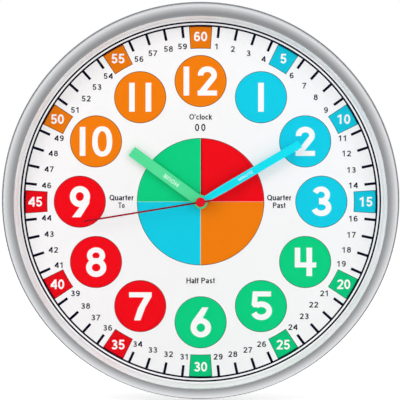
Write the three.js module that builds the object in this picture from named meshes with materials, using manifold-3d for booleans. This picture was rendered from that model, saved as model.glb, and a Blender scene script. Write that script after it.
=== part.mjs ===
// A 12 inch teaching wall clock: a moulded case with a domed ring, a flat lens, a printed dial
// and three hands on a battery quartz movement.
// Millimetres, +Z up, +X to the right of someone who reads the dial.
// The wall is the plane Y = 0 and the dial looks along -Y.
// The origin is where the axis of the hands meets the wall.
// A depth is a distance in front of the wall, and a bearing is in degrees clockwise from 12.
import * as THREE from "three";
import { mergeVertices } from "three/addons/utils/BufferGeometryUtils.js";
import Module from "manifold-3d";

const wasm = await Module();
wasm.setup();

// Fineness of the round forms, in steps for a full turn
const caseSteps = 52;
const washerSteps = 16;
const arborSteps = 8;
const screwSteps = 8;
const cornerSteps = 3;
const domeSteps = 6;
const rollSteps = 3;
const hiddenSteps = 1;

// Fits that many pieces share
const fitGap = 0.3;
const slipGap = 0.15;
const runningFit = 0.05;
const cutOverrun = 1;
const joinOverlap = 0.2;
const weldDistance = 1e-4;

// Movement: the box, its battery bay and the threaded neck that the case is clamped on
const movement = {
  width: 56,
  depth: 16,
  cornerRadius: 3,
  wall: 1,
  frontWall: 1.2,
  coverThick: 1.2,
  dividerThick: 0.9,
  neckRadius: 3.9,
  neckLength: 6.6,
};
const battery = { radius: 7.25, bodyLength: 49.5, nubRadius: 2.75, nubLength: 1 };
const contact = { thick: 0.4, width: 9, height: 10, foldDepth: 1.7 };
const clamp = {
  rubberThick: 0.8,
  rubberRadius: 9,
  washerThick: 0.4,
  nutRadius: 5.2,
  nutThick: 2,
  slotWidth: 1.2,
  slotDepth: 0.8,
};

// Case, from the wall forward
const housing = {
  flangeRadius: 150,
  flangeThick: 3,
  edgeChamfer: 0.6,
  wallThick: 1.8,
  floorThick: 2,
  ribThick: 1.6,
  ribHeight: 3,
  collarThick: 1.6,
  collarHeight: 4,
};
const ribCount = 12;
const dial = { thick: 0.8 };
const handRoom = 11;
const lens = { thick: 2 };
const spacer = { footWidth: 4.7, topWidth: 1.8 };
const bezel = {
  ledge: 0.8,
  lipThick: 1,
  lensSeat: 1.7,
  rollWidth: 2,
  rollHeight: 1.6,
  domeWidth: 5.4,
  domeHeight: 9.2,
  skirtFlare: 1.2,
  wall: 2,
  registerGap: 0.5,
  registerThick: 1.5,
  registerReach: 4.8,
};
const caseScrew = {
  count: 6,
  headRadius: 2.2,
  headThick: 1.2,
  shankRadius: 1.1,
  shankLength: 10,
  tipLength: 1.4,
  bossRadius: 2.4,
  bossHeight: 19,
  pilotDepth: 12,
};

// Keyhole hanger on the back, with the seat of the nail above the middle
const hanger = {
  seatInset: 23,
  plateWidth: 44,
  plateHeight: 18,
  plateThick: 1.2,
  plateDepth: 2,
  cornerRadius: 2.5,
  entryRadius: 4.6,
  slotWidth: 4.6,
  slotLength: 9,
  screwSpacing: 34,
  postRadius: 4,
};
const hangerScrew = {
  headRadius: 2.8,
  headThick: 1.1,
  shankRadius: 1.1,
  shankLength: 8,
  tipLength: 1.4,
};

// Hands. The bearings are those of the photograph.
const hourHand = { bearing: 306.4, length: 64.5, width: 8.1, eyeRadius: 5.4, thick: 0.8 };
const minuteHand = {
  bearing: 59.6,
  length: 86.8,
  width: 6,
  neckWidth: 4.4,
  taperEnd: 20,
  eyeRadius: 3.6,
  thick: 0.7,
};
const secondHand = {
  bearing: 260.7,
  length: 89,
  width: 1.2,
  tail: 8,
  eyeRadius: 2.4,
  thick: 0.4,
};
const handCap = { radius: 3.65, height: 1.4, edge: 0.5 };
const hourCollar = { radius: 3.7, below: 0.3, above: 0.6 };
const minuteCollar = { radius: 2.9, below: 0.3, above: 0.5 };
const pipe = { radius: 1, flangeRadius: 2, flangeThick: 0.3, below: 0.3 };

// The three coaxial arbors
const hourTube = { radius: 2.55, bore: 1.7 };
const minuteArbor = { radius: 1.6, bore: 0.8, shoulderRadius: 2.4, shoulderThick: 0.35 };
const secondArbor = { radius: 0.5 };
const plainArbor = { radius: 0.4 };
// Gaps along the axis: neck to hour hand, hour hand to minute hand, minute hand to second hand
const handGap = { hour: 0.6, minute: 1.6, second: 1.5 };
const tubeStandoff = { hour: 1, minute: 0.7 };

// Gear train: tooth counts and the distances between arbors
const teeth = {
  rotorPinion: 8,
  intermediateWheel: 48,
  intermediatePinion: 8,
  secondWheel: 40,
  secondPinion: 8,
  thirdWheel: 60,
  thirdPinion: 8,
  centreWheel: 64,
  cannonPinion: 12,
  transferWheel: 36,
  transferPinion: 8,
  hourWheel: 32,
  settingPinion: 12,
};
const centres = { rotor: 8.4, intermediate: 8.4, third: 11.88, transfer: 8 };
const bearings = { rotor: 60, intermediate: 75, third: -75, transfer: 0 };
// Tooth form: heights as shares of the module, half widths as shares of half the tooth pitch.
// A pinion has a flat root between its teeth, and the teeth of a wheel meet in a point there.
const pinionForm = { addendumShare: 0.8, dedendumShare: 1.1, tipShare: 0.2, rootShare: 0.56 };
const wheelForm = { addendumShare: 0.8, dedendumShare: 1.5, tipShare: 0.1, rootShare: 1 };

// Layers of the train: the depth of each wheel's back face, and how thick it is
const wheelThick = 0.8;
const motionThick = 1;
const pinionProud = 0.2;
const layer = {
  intermediateWheel: 3.4,
  secondWheel: 5.4,
  thirdWheel: 7.8,
  bridge: 9,
  centreWheel: 10.2,
  motionWork: 11.6,
  hourWheel: 13.2,
};
const bearing = {
  rearDepth: 1.8,
  bossRadius: 1.6,
  bossHeight: 1.6,
  studRadius: 0.8,
  postRadius: 1.5,
};
const bridge = {
  thick: 0.8,
  left: 17.8,
  right: 25.6,
  bottom: 9.8,
  shelfTop: 16.2,
  tabTop: 18.8,
  tabRight: 8.4,
  pinionHoleRadius: 2,
  postRadius: 1.5,
  postInset: 2.4,
  seatRadius: 1.3,
};

// Stepping motor
const rotor = { radius: 3, thick: 2.5, depth: 5.5 };
const stator = {
  depth: 6.5,
  thick: 0.8,
  holeGap: 0.4,
  yokeHalf: 5,
  armWidth: 3,
  left: 6.6,
  right: 25.4,
  seatHeight: 12.5,
};
const coil = {
  height: 20.8,
  coreThick: 0.8,
  coreWidth: 3,
  tubeRadius: 2.1,
  flangeRadius: 3.9,
  flangeThick: 0.8,
  windingRadius: 3.4,
};

// Circuit board with its blob of resin and its crystal
const board = { depth: 4.2, thick: 0.8, width: 18.9, height: 16.2, postRadius: 1.2, postInset: 2.2 };
const chip = { radius: 2.6, crownRadius: 1.6, edge: 0.5, height: 1.2 };
const crystal = { radius: 1, length: 6, inset: 5.8, rise: 2.2 };

// Setting knob in its cup at the back
const knob = { radius: 5.2, thick: 1.6, gripDepth: 0.35, arborRadius: 1.2, pivotLength: 1.2 };
const knobGripCount = 15;
const cup = { radius: 6.2, wall: 1, depth: 3.2, floorThick: 1 };

// Depths that follow from the stack of pieces
const neckEnd = movement.depth + movement.neckLength;
const frontWallBack = movement.depth - movement.frontWall;
const floorBack = movement.depth + clamp.rubberThick;
const floorFront = floorBack + housing.floorThick;
const dialFront = floorFront + dial.thick;
const washerFront = dialFront + clamp.washerThick;
const lensBack = dialFront + handRoom;
const lensFront = lensBack + lens.thick;
const crestDepth = lensFront + bezel.lipThick + bezel.rollHeight;
const shoulderDepth = crestDepth - bezel.domeHeight;
const hourHandBack = neckEnd + handGap.hour;
const minuteHandBack = hourHandBack + hourHand.thick + handGap.minute;
const secondHandBack = minuteHandBack + minuteHand.thick + handGap.second;
const hourTubeEnd = hourHandBack + hourHand.thick + tubeStandoff.hour;
const minuteArborEnd = minuteHandBack + minuteHand.thick + tubeStandoff.minute;
const capBack = secondHandBack + secondHand.thick;
const secondArborEnd = capBack + handCap.height / 2;
const bridgeFront = layer.bridge + bridge.thick;
const minuteArborBack = bridgeFront + joinOverlap;

// Radii of the case, from the flange inwards
const skirtRadius = housing.flangeRadius - bezel.ledge;
const shoulderRadius = skirtRadius - bezel.skirtFlare;
const crestRadius = shoulderRadius - bezel.domeWidth;
const openingRadius = crestRadius - bezel.rollWidth;
const registerRadius = openingRadius + bezel.lensSeat;
const registerOuterRadius = registerRadius + bezel.registerThick;
const nestedRadius = registerRadius - fitGap;
const dishOuterRadius = registerRadius - bezel.registerGap;
const dishInnerRadius = dishOuterRadius - housing.wallThick;
const nailHeight = dishInnerRadius - hanger.seatInset;
const screwCircle = (registerOuterRadius + skirtRadius - bezel.wall) / 2;
const clampHoleRadius = movement.neckRadius + fitGap;
const neckBore = hourTube.radius + 2 * runningFit;

// Places in the movement
const halfWidth = movement.width / 2;
const innerHalf = halfWidth - movement.wall;
const batteryHeight = -innerHalf + slipGap + battery.radius;
const batteryDepth = frontWallBack - slipGap - battery.radius;
const dividerBottom = batteryHeight + battery.radius + slipGap;
const dividerTop = dividerBottom + movement.dividerThick;

// One point at a distance and bearing from another
function polar(distance, bearingDegrees, from = { x: 0, z: 0 }) {
  const angle = THREE.MathUtils.degToRad(bearingDegrees);
  return { x: from.x + distance * Math.sin(angle), z: from.z + distance * Math.cos(angle) };
}

const centreSpot = { x: 0, z: 0 };
const intermediateSpot = polar(centres.intermediate, bearings.intermediate);
const rotorSpot = polar(centres.rotor, bearings.rotor, intermediateSpot);
const thirdSpot = polar(centres.third, bearings.third);
const transferSpot = polar(centres.transfer, bearings.transfer);
const knobSpot = polar(centres.transfer, bearings.transfer, transferSpot);

// A tooth size from the distance between two arbors and the teeth on both
function moduleFor(distance, one, other) {
  return (2 * distance) / (one + other);
}

const modules = {
  rotor: moduleFor(centres.rotor, teeth.rotorPinion, teeth.intermediateWheel),
  intermediate: moduleFor(centres.intermediate, teeth.intermediatePinion, teeth.secondWheel),
  third: moduleFor(centres.third, teeth.secondPinion, teeth.thirdWheel),
  centre: moduleFor(centres.third, teeth.thirdPinion, teeth.centreWheel),
  transfer: moduleFor(centres.transfer, teeth.cannonPinion, teeth.transferWheel),
  hour: moduleFor(centres.transfer, teeth.transferPinion, teeth.hourWheel),
};

// The bearing of a tooth on a gear that meshes, in one direction, with a gear of known tooth bearing
const halfTurn = 180;
function matedTooth(bearingOfTooth, ownTeeth, direction, matedTeeth) {
  const shift = ((direction - bearingOfTooth) * ownTeeth) / matedTeeth;
  return direction + halfTurn + shift + halfTurn / matedTeeth;
}

const toothAt = { second: 0, cannon: 0 };
toothAt.third = matedTooth(toothAt.second, teeth.secondPinion, bearings.third, teeth.thirdWheel);
toothAt.centre = matedTooth(
  toothAt.third,
  teeth.thirdPinion,
  bearings.third + halfTurn,
  teeth.centreWheel,
);
toothAt.intermediate = matedTooth(
  toothAt.second,
  teeth.secondWheel,
  bearings.intermediate,
  teeth.intermediatePinion,
);
toothAt.rotor = matedTooth(
  toothAt.intermediate,
  teeth.intermediateWheel,
  bearings.rotor,
  teeth.rotorPinion,
);
toothAt.transfer = matedTooth(
  toothAt.cannon,
  teeth.cannonPinion,
  bearings.transfer,
  teeth.transferWheel,
);
toothAt.hour = matedTooth(
  toothAt.transfer,
  teeth.transferPinion,
  bearings.transfer + halfTurn,
  teeth.hourWheel,
);
toothAt.setting = matedTooth(
  toothAt.transfer,
  teeth.transferWheel,
  bearings.transfer,
  teeth.settingPinion,
);

// Finishes
function finish(color, roughness, metalness = 0) {
  return new THREE.MeshStandardMaterial({ color, roughness, metalness });
}

const silverPaint = finish(0xc9ccd1, 0.3, 0.55);
const greyPlastic = finish(0x8b8e93, 0.55);
const blackPlastic = finish(0x1c1c1e, 0.5);
const naturalPlastic = finish(0xe9e6da, 0.45);
const whitePlastic = finish(0xf3f3f1, 0.6);
const dialWhite = finish(0xfafafa, 0.8);
const clearPlastic = finish(0xf7fbff, 0.05);
const greenPaint = finish(0x59e29c, 0.4);
const cyanPaint = finish(0x14dcf0, 0.4);
const redPaint = finish(0xd81028, 0.4);
const brass = finish(0xc8a24a, 0.35, 0.9);
const steel = finish(0xb9bcc0, 0.35, 0.9);
const zincPlate = finish(0xc4c6c8, 0.3, 0.85);
const copper = finish(0xb5602c, 0.35, 0.7);
const rubber = finish(0x202022, 0.85);
const magnetGrey = finish(0x4a4a4d, 0.5, 0.4);
const boardGreen = finish(0x1f6a3c, 0.6);
const batterySleeve = finish(0x5b6068, 0.35, 0.3);

// A closed geometry as a solid that can be joined and cut
function solidOf(geometry) {
  geometry.deleteAttribute("normal");
  geometry.deleteAttribute("uv");
  const merged = mergeVertices(geometry, weldDistance);
  const vertProperties = merged.attributes.position.array;
  const triVerts = Uint32Array.from(merged.index.array);
  return new wasm.Manifold(new wasm.Mesh({ numProp: 3, vertProperties, triVerts }));
}

function geometryOf(solid) {
  const { vertProperties, triVerts } = solid.getMesh();
  const geometry = new THREE.BufferGeometry();
  geometry.setAttribute("position", new THREE.BufferAttribute(vertProperties, 3));
  geometry.setIndex(new THREE.BufferAttribute(triVerts, 1));
  geometry.computeVertexNormals();
  return geometry;
}

function joined(first, ...others) {
  return others.reduce((whole, other) => whole.add(other), first);
}

function without(whole, ...cutters) {
  return cutters.reduce((rest, cutter) => rest.subtract(cutter), whole);
}

// The points of a lathe profile, running the way that turns its faces outwards
function latheProfile(points) {
  const run = THREE.ShapeUtils.area(points) < 0 ? [...points].reverse() : [...points];
  if (run[0].x > 0 || run[run.length - 1].x > 0) run.push(run[0].clone());
  return run;
}

// A solid turned about an axis square to the wall, from [radius, depth] pairs
function turned(profile, steps, spot = centreSpot) {
  const points = profile.map(([radius, depth]) => new THREE.Vector2(radius, -depth));
  const geometry = new THREE.LatheGeometry(latheProfile(points), steps);
  geometry.translate(spot.x, 0, spot.z);
  return solidOf(geometry);
}

// A solid turned about an axis along X, from [radius, x] pairs
function turnedAlongX(profile, steps, height, depth) {
  const points = profile.map(([radius, x]) => new THREE.Vector2(radius, x));
  const geometry = new THREE.LatheGeometry(latheProfile(points), steps);
  geometry.rotateZ(-Math.PI / 2);
  geometry.translate(0, -depth, height);
  return solidOf(geometry);
}

function rod(radius, back, front, steps, spot = centreSpot) {
  return turned(
    [
      [0, back],
      [radius, back],
      [radius, front],
      [0, front],
    ],
    steps,
    spot,
  );
}

// A many-sided hole is drawn round the true bore, so that a shaft of that bore still fits it
function boreRadius(radius, steps) {
  return radius / Math.cos(Math.PI / steps);
}

function hole(radius, back, front, steps, spot = centreSpot) {
  return rod(boreRadius(radius, steps), back - cutOverrun, front + cutOverrun, steps, spot);
}

function blindHole(radius, openEnd, bottom, steps, spot = centreSpot) {
  const beyond = openEnd + Math.sign(openEnd - bottom) * cutOverrun;
  const back = Math.min(beyond, bottom);
  const front = Math.max(beyond, bottom);
  return rod(boreRadius(radius, steps), back, front, steps, spot);
}

function ring(inner, outer, back, front, steps) {
  const bore = boreRadius(inner, steps);
  return turned(
    [
      [bore, back],
      [outer, back],
      [outer, front],
      [bore, front],
    ],
    steps,
  );
}

// A flat piece with its outline in X and Z, between two depths
function plate(outline, back, front) {
  const shape = new THREE.Shape(outline.map(([x, z]) => new THREE.Vector2(x, z)));
  const geometry = new THREE.ExtrudeGeometry(shape, { depth: front - back, bevelEnabled: false });
  geometry.rotateX(Math.PI / 2);
  geometry.translate(0, -back, 0);
  return solidOf(geometry);
}

function block(left, right, bottom, top, back, front) {
  return plate(
    [
      [left, bottom],
      [right, bottom],
      [right, top],
      [left, top],
    ],
    back,
    front,
  );
}

function arc(centreX, centreZ, radius, fromBearing, toBearing, steps) {
  const points = [];
  for (let i = 0; i <= steps; i += 1) {
    const spot = polar(radius, fromBearing + ((toBearing - fromBearing) * i) / steps);
    points.push([centreX + spot.x, centreZ + spot.z]);
  }
  return points;
}

function roundedOutline(width, height, radius, spot = centreSpot) {
  const x = width / 2 - radius;
  const z = height / 2 - radius;
  return [
    ...arc(spot.x + x, spot.z + z, radius, 0, 90, cornerSteps),
    ...arc(spot.x + x, spot.z - z, radius, 90, 180, cornerSteps),
    ...arc(spot.x - x, spot.z - z, radius, 180, 270, cornerSteps),
    ...arc(spot.x - x, spot.z + z, radius, 270, 360, cornerSteps),
  ];
}

// A toothed disc, with one tooth at bearing 0 and room at the flanks of each tooth to run
function gear(form, toothCount, module, back, thick) {
  const pitchRadius = (module * toothCount) / 2;
  const tip = pitchRadius + module * form.addendumShare;
  const root = pitchRadius - module * form.dedendumShare;
  const halfPitch = halfTurn / toothCount;
  const corners = [
    [root, -form.rootShare],
    [tip, -form.tipShare],
    [tip, form.tipShare],
  ];
  if (form.rootShare < 1) corners.push([root, form.rootShare]);
  const outline = [];
  for (let i = 0; i < toothCount; i += 1) {
    for (const [radius, share] of corners) {
      const spot = polar(radius, (2 * i + share) * halfPitch);
      outline.push([spot.x, spot.z]);
    }
  }
  return plate(outline, back, back + thick);
}

const clock = new THREE.Group();
clock.name = "teaching_wall_clock";

// Adds one piece to the clock, drawn about its own axis, at its place and turned to its bearing
function addPiece(name, solid, material, spot = centreSpot, turnDegrees = 0) {
  const mesh = new THREE.Mesh(geometryOf(solid), material);
  mesh.name = name;
  mesh.position.set(spot.x, 0, spot.z);
  mesh.rotation.y = THREE.MathUtils.degToRad(turnDegrees);
  clock.add(mesh);
}

// Rear housing: a dish with a flange, stiffening ribs, a collar for the movement and hanger posts
function rearHousing() {
  const chamfer = housing.edgeChamfer;
  const dish = turned(
    [
      [clampHoleRadius, floorBack],
      [dishInnerRadius, floorBack],
      [dishInnerRadius, 0],
      [housing.flangeRadius - chamfer, 0],
      [housing.flangeRadius, chamfer],
      [housing.flangeRadius, housing.flangeThick],
      [dishOuterRadius, housing.flangeThick],
      [dishOuterRadius, floorFront],
      [clampHoleRadius, floorFront],
    ],
    caseSteps,
  );
  const collarInner = movement.width + 2 * fitGap;
  const collarOuter = collarInner + 2 * housing.collarThick;
  const collarBack = floorBack - housing.collarHeight;
  const collarInnerRadius = movement.cornerRadius + fitGap;
  const collarOuterRadius = collarInnerRadius + housing.collarThick;
  const collar = without(
    plate(
      roundedOutline(collarOuter, collarOuter, collarOuterRadius),
      collarBack,
      floorBack + joinOverlap,
    ),
    plate(
      roundedOutline(collarInner, collarInner, collarInnerRadius),
      collarBack - cutOverrun,
      floorBack + cutOverrun,
    ),
  );
  let body = dish.add(collar);
  const ribStart = (collarOuter / 2) * Math.SQRT2;
  const ribEnd = dishInnerRadius + housing.wallThick / 2;
  for (let i = 0; i < ribCount; i += 1) {
    const rib = block(
      -housing.ribThick / 2,
      housing.ribThick / 2,
      ribStart,
      ribEnd,
      floorBack - housing.ribHeight,
      floorBack + joinOverlap,
    );
    body = body.add(rib.rotate([0, (360 * (i + 1 / 2)) / ribCount, 0]));
  }
  const postBack = hanger.plateDepth + hanger.plateThick;
  for (const spot of hangerScrewSpots()) {
    const post = rod(hanger.postRadius, postBack, floorBack + joinOverlap, arborSteps, spot);
    const pilotEnd = hanger.plateDepth + hangerScrew.shankLength + fitGap;
    const pilot = blindHole(
      hangerScrew.shankRadius + runningFit,
      postBack,
      pilotEnd,
      arborSteps,
      spot,
    );
    body = body.add(post).subtract(pilot);
  }
  for (const spot of caseScrewSpots()) {
    const clearHole = hole(
      caseScrew.shankRadius + slipGap,
      0,
      housing.flangeThick,
      screwSteps,
      spot,
    );
    const headRecess = blindHole(
      caseScrew.headRadius + fitGap,
      0,
      caseScrew.headThick,
      screwSteps,
      spot,
    );
    body = without(body, clearHole, headRecess);
  }
  return body;
}

function caseScrewSpots() {
  const spots = [];
  for (let i = 0; i < caseScrew.count; i += 1) {
    spots.push(polar(screwCircle, (360 * (i + 1 / 2)) / caseScrew.count));
  }
  return spots;
}

function hangerScrewSpots() {
  const height = nailHeight - hanger.slotLength / 2;
  return [
    { x: -hanger.screwSpacing / 2, z: height },
    { x: hanger.screwSpacing / 2, z: height },
  ];
}

// Domed ring: a channel open at the back, whose inner wall registers on the rear housing
function domedRing() {
  const innerDomeWidth = bezel.domeWidth - bezel.wall;
  const innerDomeHeight = bezel.domeHeight - bezel.wall;
  const profile = [[skirtRadius, housing.flangeThick]];
  for (let i = 0; i <= domeSteps; i += 1) {
    const angle = (Math.PI / 2) * (i / domeSteps);
    profile.push([
      crestRadius + bezel.domeWidth * Math.cos(angle),
      shoulderDepth + bezel.domeHeight * Math.sin(angle),
    ]);
  }
  for (let i = 1; i <= rollSteps; i += 1) {
    const angle = (Math.PI / 2) * (i / rollSteps);
    profile.push([
      crestRadius - bezel.rollWidth * Math.sin(angle),
      crestDepth - bezel.rollHeight * (1 - Math.cos(angle)),
    ]);
  }
  profile.push([openingRadius, lensFront], [registerRadius, lensFront]);
  profile.push([registerRadius, floorBack - bezel.registerReach]);
  profile.push([registerOuterRadius, floorBack - bezel.registerReach]);
  const reach = registerOuterRadius - crestRadius;
  const innerStart = Math.acos(reach / innerDomeWidth);
  for (let i = 0; i <= hiddenSteps; i += 1) {
    const angle = innerStart * (1 - i / hiddenSteps);
    profile.push([
      crestRadius + innerDomeWidth * Math.cos(angle),
      shoulderDepth + innerDomeHeight * Math.sin(angle),
    ]);
  }
  profile.push([skirtRadius - bezel.wall, housing.flangeThick]);
  let body = turned(profile, caseSteps);
  for (const spot of caseScrewSpots()) {
    const bossFront = housing.flangeThick + caseScrew.bossHeight;
    const boss = rod(caseScrew.bossRadius, housing.flangeThick, bossFront, screwSteps, spot);
    const pilot = blindHole(
      caseScrew.shankRadius + runningFit,
      housing.flangeThick,
      housing.flangeThick + caseScrew.pilotDepth,
      screwSteps,
      spot,
    );
    body = body.add(boss).subtract(pilot);
  }
  return body;
}

// White cone that holds the lens off the dial
function spacerRing() {
  return turned(
    [
      [nestedRadius - spacer.footWidth, dialFront],
      [nestedRadius, dialFront],
      [nestedRadius, lensBack],
      [nestedRadius - spacer.topWidth, lensBack],
    ],
    caseSteps,
  );
}

// Screw with a low domed head at the back and a pointed thread core
function screw(size, headBack, spot) {
  const headFront = headBack + size.headThick;
  const end = headFront + size.shankLength;
  return turned(
    [
      [0, headBack],
      [size.headRadius, headBack + size.headThick / 2],
      [size.headRadius, headFront],
      [size.shankRadius, headFront],
      [size.shankRadius, end - size.tipLength],
      [0, end],
    ],
    screwSteps,
    spot,
  );
}

function hangerPlate() {
  const front = hanger.plateDepth + hanger.plateThick;
  const entryHeight = nailHeight - hanger.slotLength;
  const middle = { x: 0, z: nailHeight - hanger.slotLength / 2 };
  const outline = roundedOutline(hanger.plateWidth, hanger.plateHeight, hanger.cornerRadius, middle);
  const sheet = plate(outline, hanger.plateDepth, front);
  const entry = hole(hanger.entryRadius, hanger.plateDepth, front, washerSteps, {
    x: 0,
    z: entryHeight,
  });
  const half = hanger.slotWidth / 2;
  const slot = plate(
    [
      [-half, entryHeight],
      [half, entryHeight],
      ...arc(0, nailHeight - half, half, 90, -90, 2 * cornerSteps),
    ],
    hanger.plateDepth - cutOverrun,
    front + cutOverrun,
  );
  const screwHoles = hangerScrewSpots().map((spot) =>
    hole(hangerScrew.shankRadius + slipGap, hanger.plateDepth, front, arborSteps, spot),
  );
  return without(sheet, entry, slot, ...screwHoles);
}

// Movement box: front wall with the threaded neck, side walls, battery divider and inner posts
function movementFrontHousing() {
  const outer = roundedOutline(movement.width, movement.width, movement.cornerRadius);
  const inner = roundedOutline(
    2 * innerHalf,
    2 * innerHalf,
    movement.cornerRadius - movement.wall,
  );
  let body = without(
    plate(outer, 0, movement.depth),
    plate(inner, -cutOverrun, frontWallBack),
  );
  const into = frontWallBack + joinOverlap;
  body = body.add(
    block(-innerHalf - joinOverlap, innerHalf + joinOverlap, dividerBottom, dividerTop, 0, into),
  );
  body = body.subtract(
    block(
      -movement.width,
      movement.width,
      dividerBottom,
      movement.width,
      -cutOverrun,
      movement.coverThick,
    ),
  );
  body = body.add(
    rod(movement.neckRadius, movement.depth - joinOverlap, neckEnd, washerSteps),
  );
  body = body.subtract(hole(neckBore, frontWallBack, neckEnd, washerSteps));
  for (const spot of bridgePostSpots()) {
    body = body.add(rod(bridge.postRadius, bridgeFront, into, arborSteps, spot));
  }
  for (const spot of boardPostSpots()) {
    const boardFront = board.depth + board.thick;
    body = body.add(rod(board.postRadius, boardFront, into, arborSteps, spot));
  }
  const thirdEnd = thirdArborFront();
  body = body.add(
    rod(bearing.postRadius, thirdEnd - wheelThick, into, arborSteps, thirdSpot),
  );
  body = body.subtract(
    blindHole(
      plainArbor.radius + runningFit,
      thirdEnd - wheelThick,
      thirdEnd + slipGap,
      arborSteps,
      thirdSpot,
    ),
  );
  body = body.add(
    rod(bearing.studRadius, layer.motionWork - slipGap, into, arborSteps, transferSpot),
  );
  const knobPivotBack = layer.motionWork + motionThick;
  body = body.add(
    rod(knob.arborRadius + movement.wall, knobPivotBack + fitGap, into, arborSteps, knobSpot),
  );
  body = body.subtract(
    blindHole(
      bearing.studRadius + runningFit,
      knobPivotBack + fitGap,
      knobPivotBack + knob.pivotLength + slipGap,
      arborSteps,
      knobSpot,
    ),
  );
  return body;
}

function thirdArborFront() {
  return layer.centreWheel + wheelThick + pinionProud + 2 * wheelThick;
}

function bridgePostSpots() {
  const inset = bridge.postInset;
  const low = -bridge.bottom + inset;
  return [
    { x: -bridge.left + inset, z: low },
    { x: bridge.left - inset, z: low },
    { x: -bridge.left + inset, z: bridge.tabTop - inset },
    { x: bridge.right - bridge.tabRight - inset, z: bridge.shelfTop - inset },
  ];
}

function boardPostSpots() {
  const inset = board.postInset;
  const left = -innerHalf + inset;
  const top = innerHalf - inset;
  return [
    { x: left, z: top },
    { x: left + board.width - 2 * inset, z: top },
    { x: left, z: top - board.height + 2 * inset },
  ];
}

// Cover of the gear chamber, with the cup of the setting knob and the rear bearings
function movementRearCover() {
  const outline = roundedOutline(movement.width, movement.width, movement.cornerRadius);
  const bottom = dividerBottom + slipGap;
  let body = plate(outline, 0, movement.coverThick);
  body = body.subtract(
    block(
      -movement.width,
      movement.width,
      -movement.width,
      bottom,
      -cutOverrun,
      movement.coverThick + cutOverrun,
    ),
  );
  body = body.add(rod(cup.radius + cup.wall, 0, cup.depth, washerSteps, knobSpot));
  body = body.subtract(
    blindHole(cup.radius, 0, cup.depth - cup.floorThick, washerSteps, knobSpot),
  );
  body = body.subtract(
    hole(knob.arborRadius + runningFit, 0, cup.depth, washerSteps, knobSpot),
  );
  const bossFront = movement.coverThick + bearing.bossHeight;
  const bossBack = movement.coverThick - joinOverlap;
  for (const [spot, radius] of [
    [centreSpot, secondArbor.radius],
    [intermediateSpot, plainArbor.radius],
    [rotorSpot, plainArbor.radius],
    [thirdSpot, plainArbor.radius],
  ]) {
    body = body.add(rod(bearing.bossRadius, bossBack, bossFront, arborSteps, spot));
    body = body.subtract(
      blindHole(
        radius + runningFit,
        bossFront,
        bearing.rearDepth - slipGap,
        arborSteps,
        spot,
      ),
    );
  }
  return body;
}

// Bridge across the train: it bears the front pivots and carries the stator
function trainBridge() {
  const sheet = plate(
    [
      [-bridge.left, -bridge.bottom],
      [bridge.left, -bridge.bottom],
      [bridge.right, 0],
      [bridge.right, bridge.shelfTop],
      [bridge.tabRight, bridge.shelfTop],
      [bridge.tabRight, bridge.tabTop],
      [-bridge.left, bridge.tabTop],
    ],
    layer.bridge,
    bridgeFront,
  );
  const statorFront = stator.depth + stator.thick;
  const seats = statorSeatSpots().map((spot) =>
    rod(bridge.seatRadius, statorFront, layer.bridge + joinOverlap, arborSteps, spot),
  );
  const holes = [
    [secondArbor.radius + slipGap, centreSpot],
    [plainArbor.radius + runningFit, intermediateSpot],
    [plainArbor.radius + runningFit, rotorSpot],
    [bridge.pinionHoleRadius, thirdSpot],
    [knob.arborRadius + fitGap, knobSpot],
  ].map(([radius, spot]) => hole(radius, layer.bridge, bridgeFront, arborSteps, spot));
  return without(joined(sheet, ...seats), ...holes);
}

function statorSeatSpots() {
  return [
    { x: stator.left + stator.armWidth / 2, z: stator.seatHeight },
    { x: stator.right - stator.armWidth / 2, z: stator.seatHeight },
  ];
}

// Laminated yoke round the rotor, with two arms up to the coil
function statorYoke() {
  const top = coil.height + coil.coreWidth / 2;
  const yokeTop = rotorSpot.z + stator.yokeHalf;
  const yokeBottom = rotorSpot.z - stator.yokeHalf;
  const yoke = plate(
    [
      [rotorSpot.x - stator.yokeHalf, yokeBottom],
      [rotorSpot.x + stator.yokeHalf, yokeBottom],
      [stator.right, rotorSpot.z],
      [stator.right, top],
      [stator.right - stator.armWidth, top],
      [stator.right - stator.armWidth, yokeTop],
      [stator.left + stator.armWidth, yokeTop],
      [stator.left + stator.armWidth, top],
      [stator.left, top],
      [stator.left, rotorSpot.z],
    ],
    stator.depth,
    stator.depth + stator.thick,
  );
  return yoke.subtract(
    hole(
      rotor.radius + stator.holeGap,
      stator.depth,
      stator.depth + stator.thick,
      washerSteps,
      rotorSpot,
    ),
  );
}

function coilCore() {
  const back = stator.depth + stator.thick;
  return block(
    stator.left,
    stator.right,
    coil.height - coil.coreWidth / 2,
    coil.height + coil.coreWidth / 2,
    back,
    back + coil.coreThick,
  );
}

function coilBobbin() {
  const left = stator.left + stator.armWidth + fitGap;
  const right = stator.right - stator.armWidth - fitGap;
  const middleDepth = stator.depth + stator.thick + coil.coreThick / 2;
  const spool = turnedAlongX(
    [
      [0, left],
      [coil.flangeRadius, left],
      [coil.flangeRadius, left + coil.flangeThick],
      [coil.tubeRadius, left + coil.flangeThick],
      [coil.tubeRadius, right - coil.flangeThick],
      [coil.flangeRadius, right - coil.flangeThick],
      [coil.flangeRadius, right],
      [0, right],
    ],
    arborSteps,
    coil.height,
    middleDepth,
  );
  const slotHalf = coil.coreWidth / 2 + slipGap;
  const slotDeep = coil.coreThick / 2 + slipGap;
  return spool.subtract(
    block(
      left - cutOverrun,
      right + cutOverrun,
      coil.height - slotHalf,
      coil.height + slotHalf,
      middleDepth - slotDeep,
      middleDepth + slotDeep,
    ),
  );
}

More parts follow.
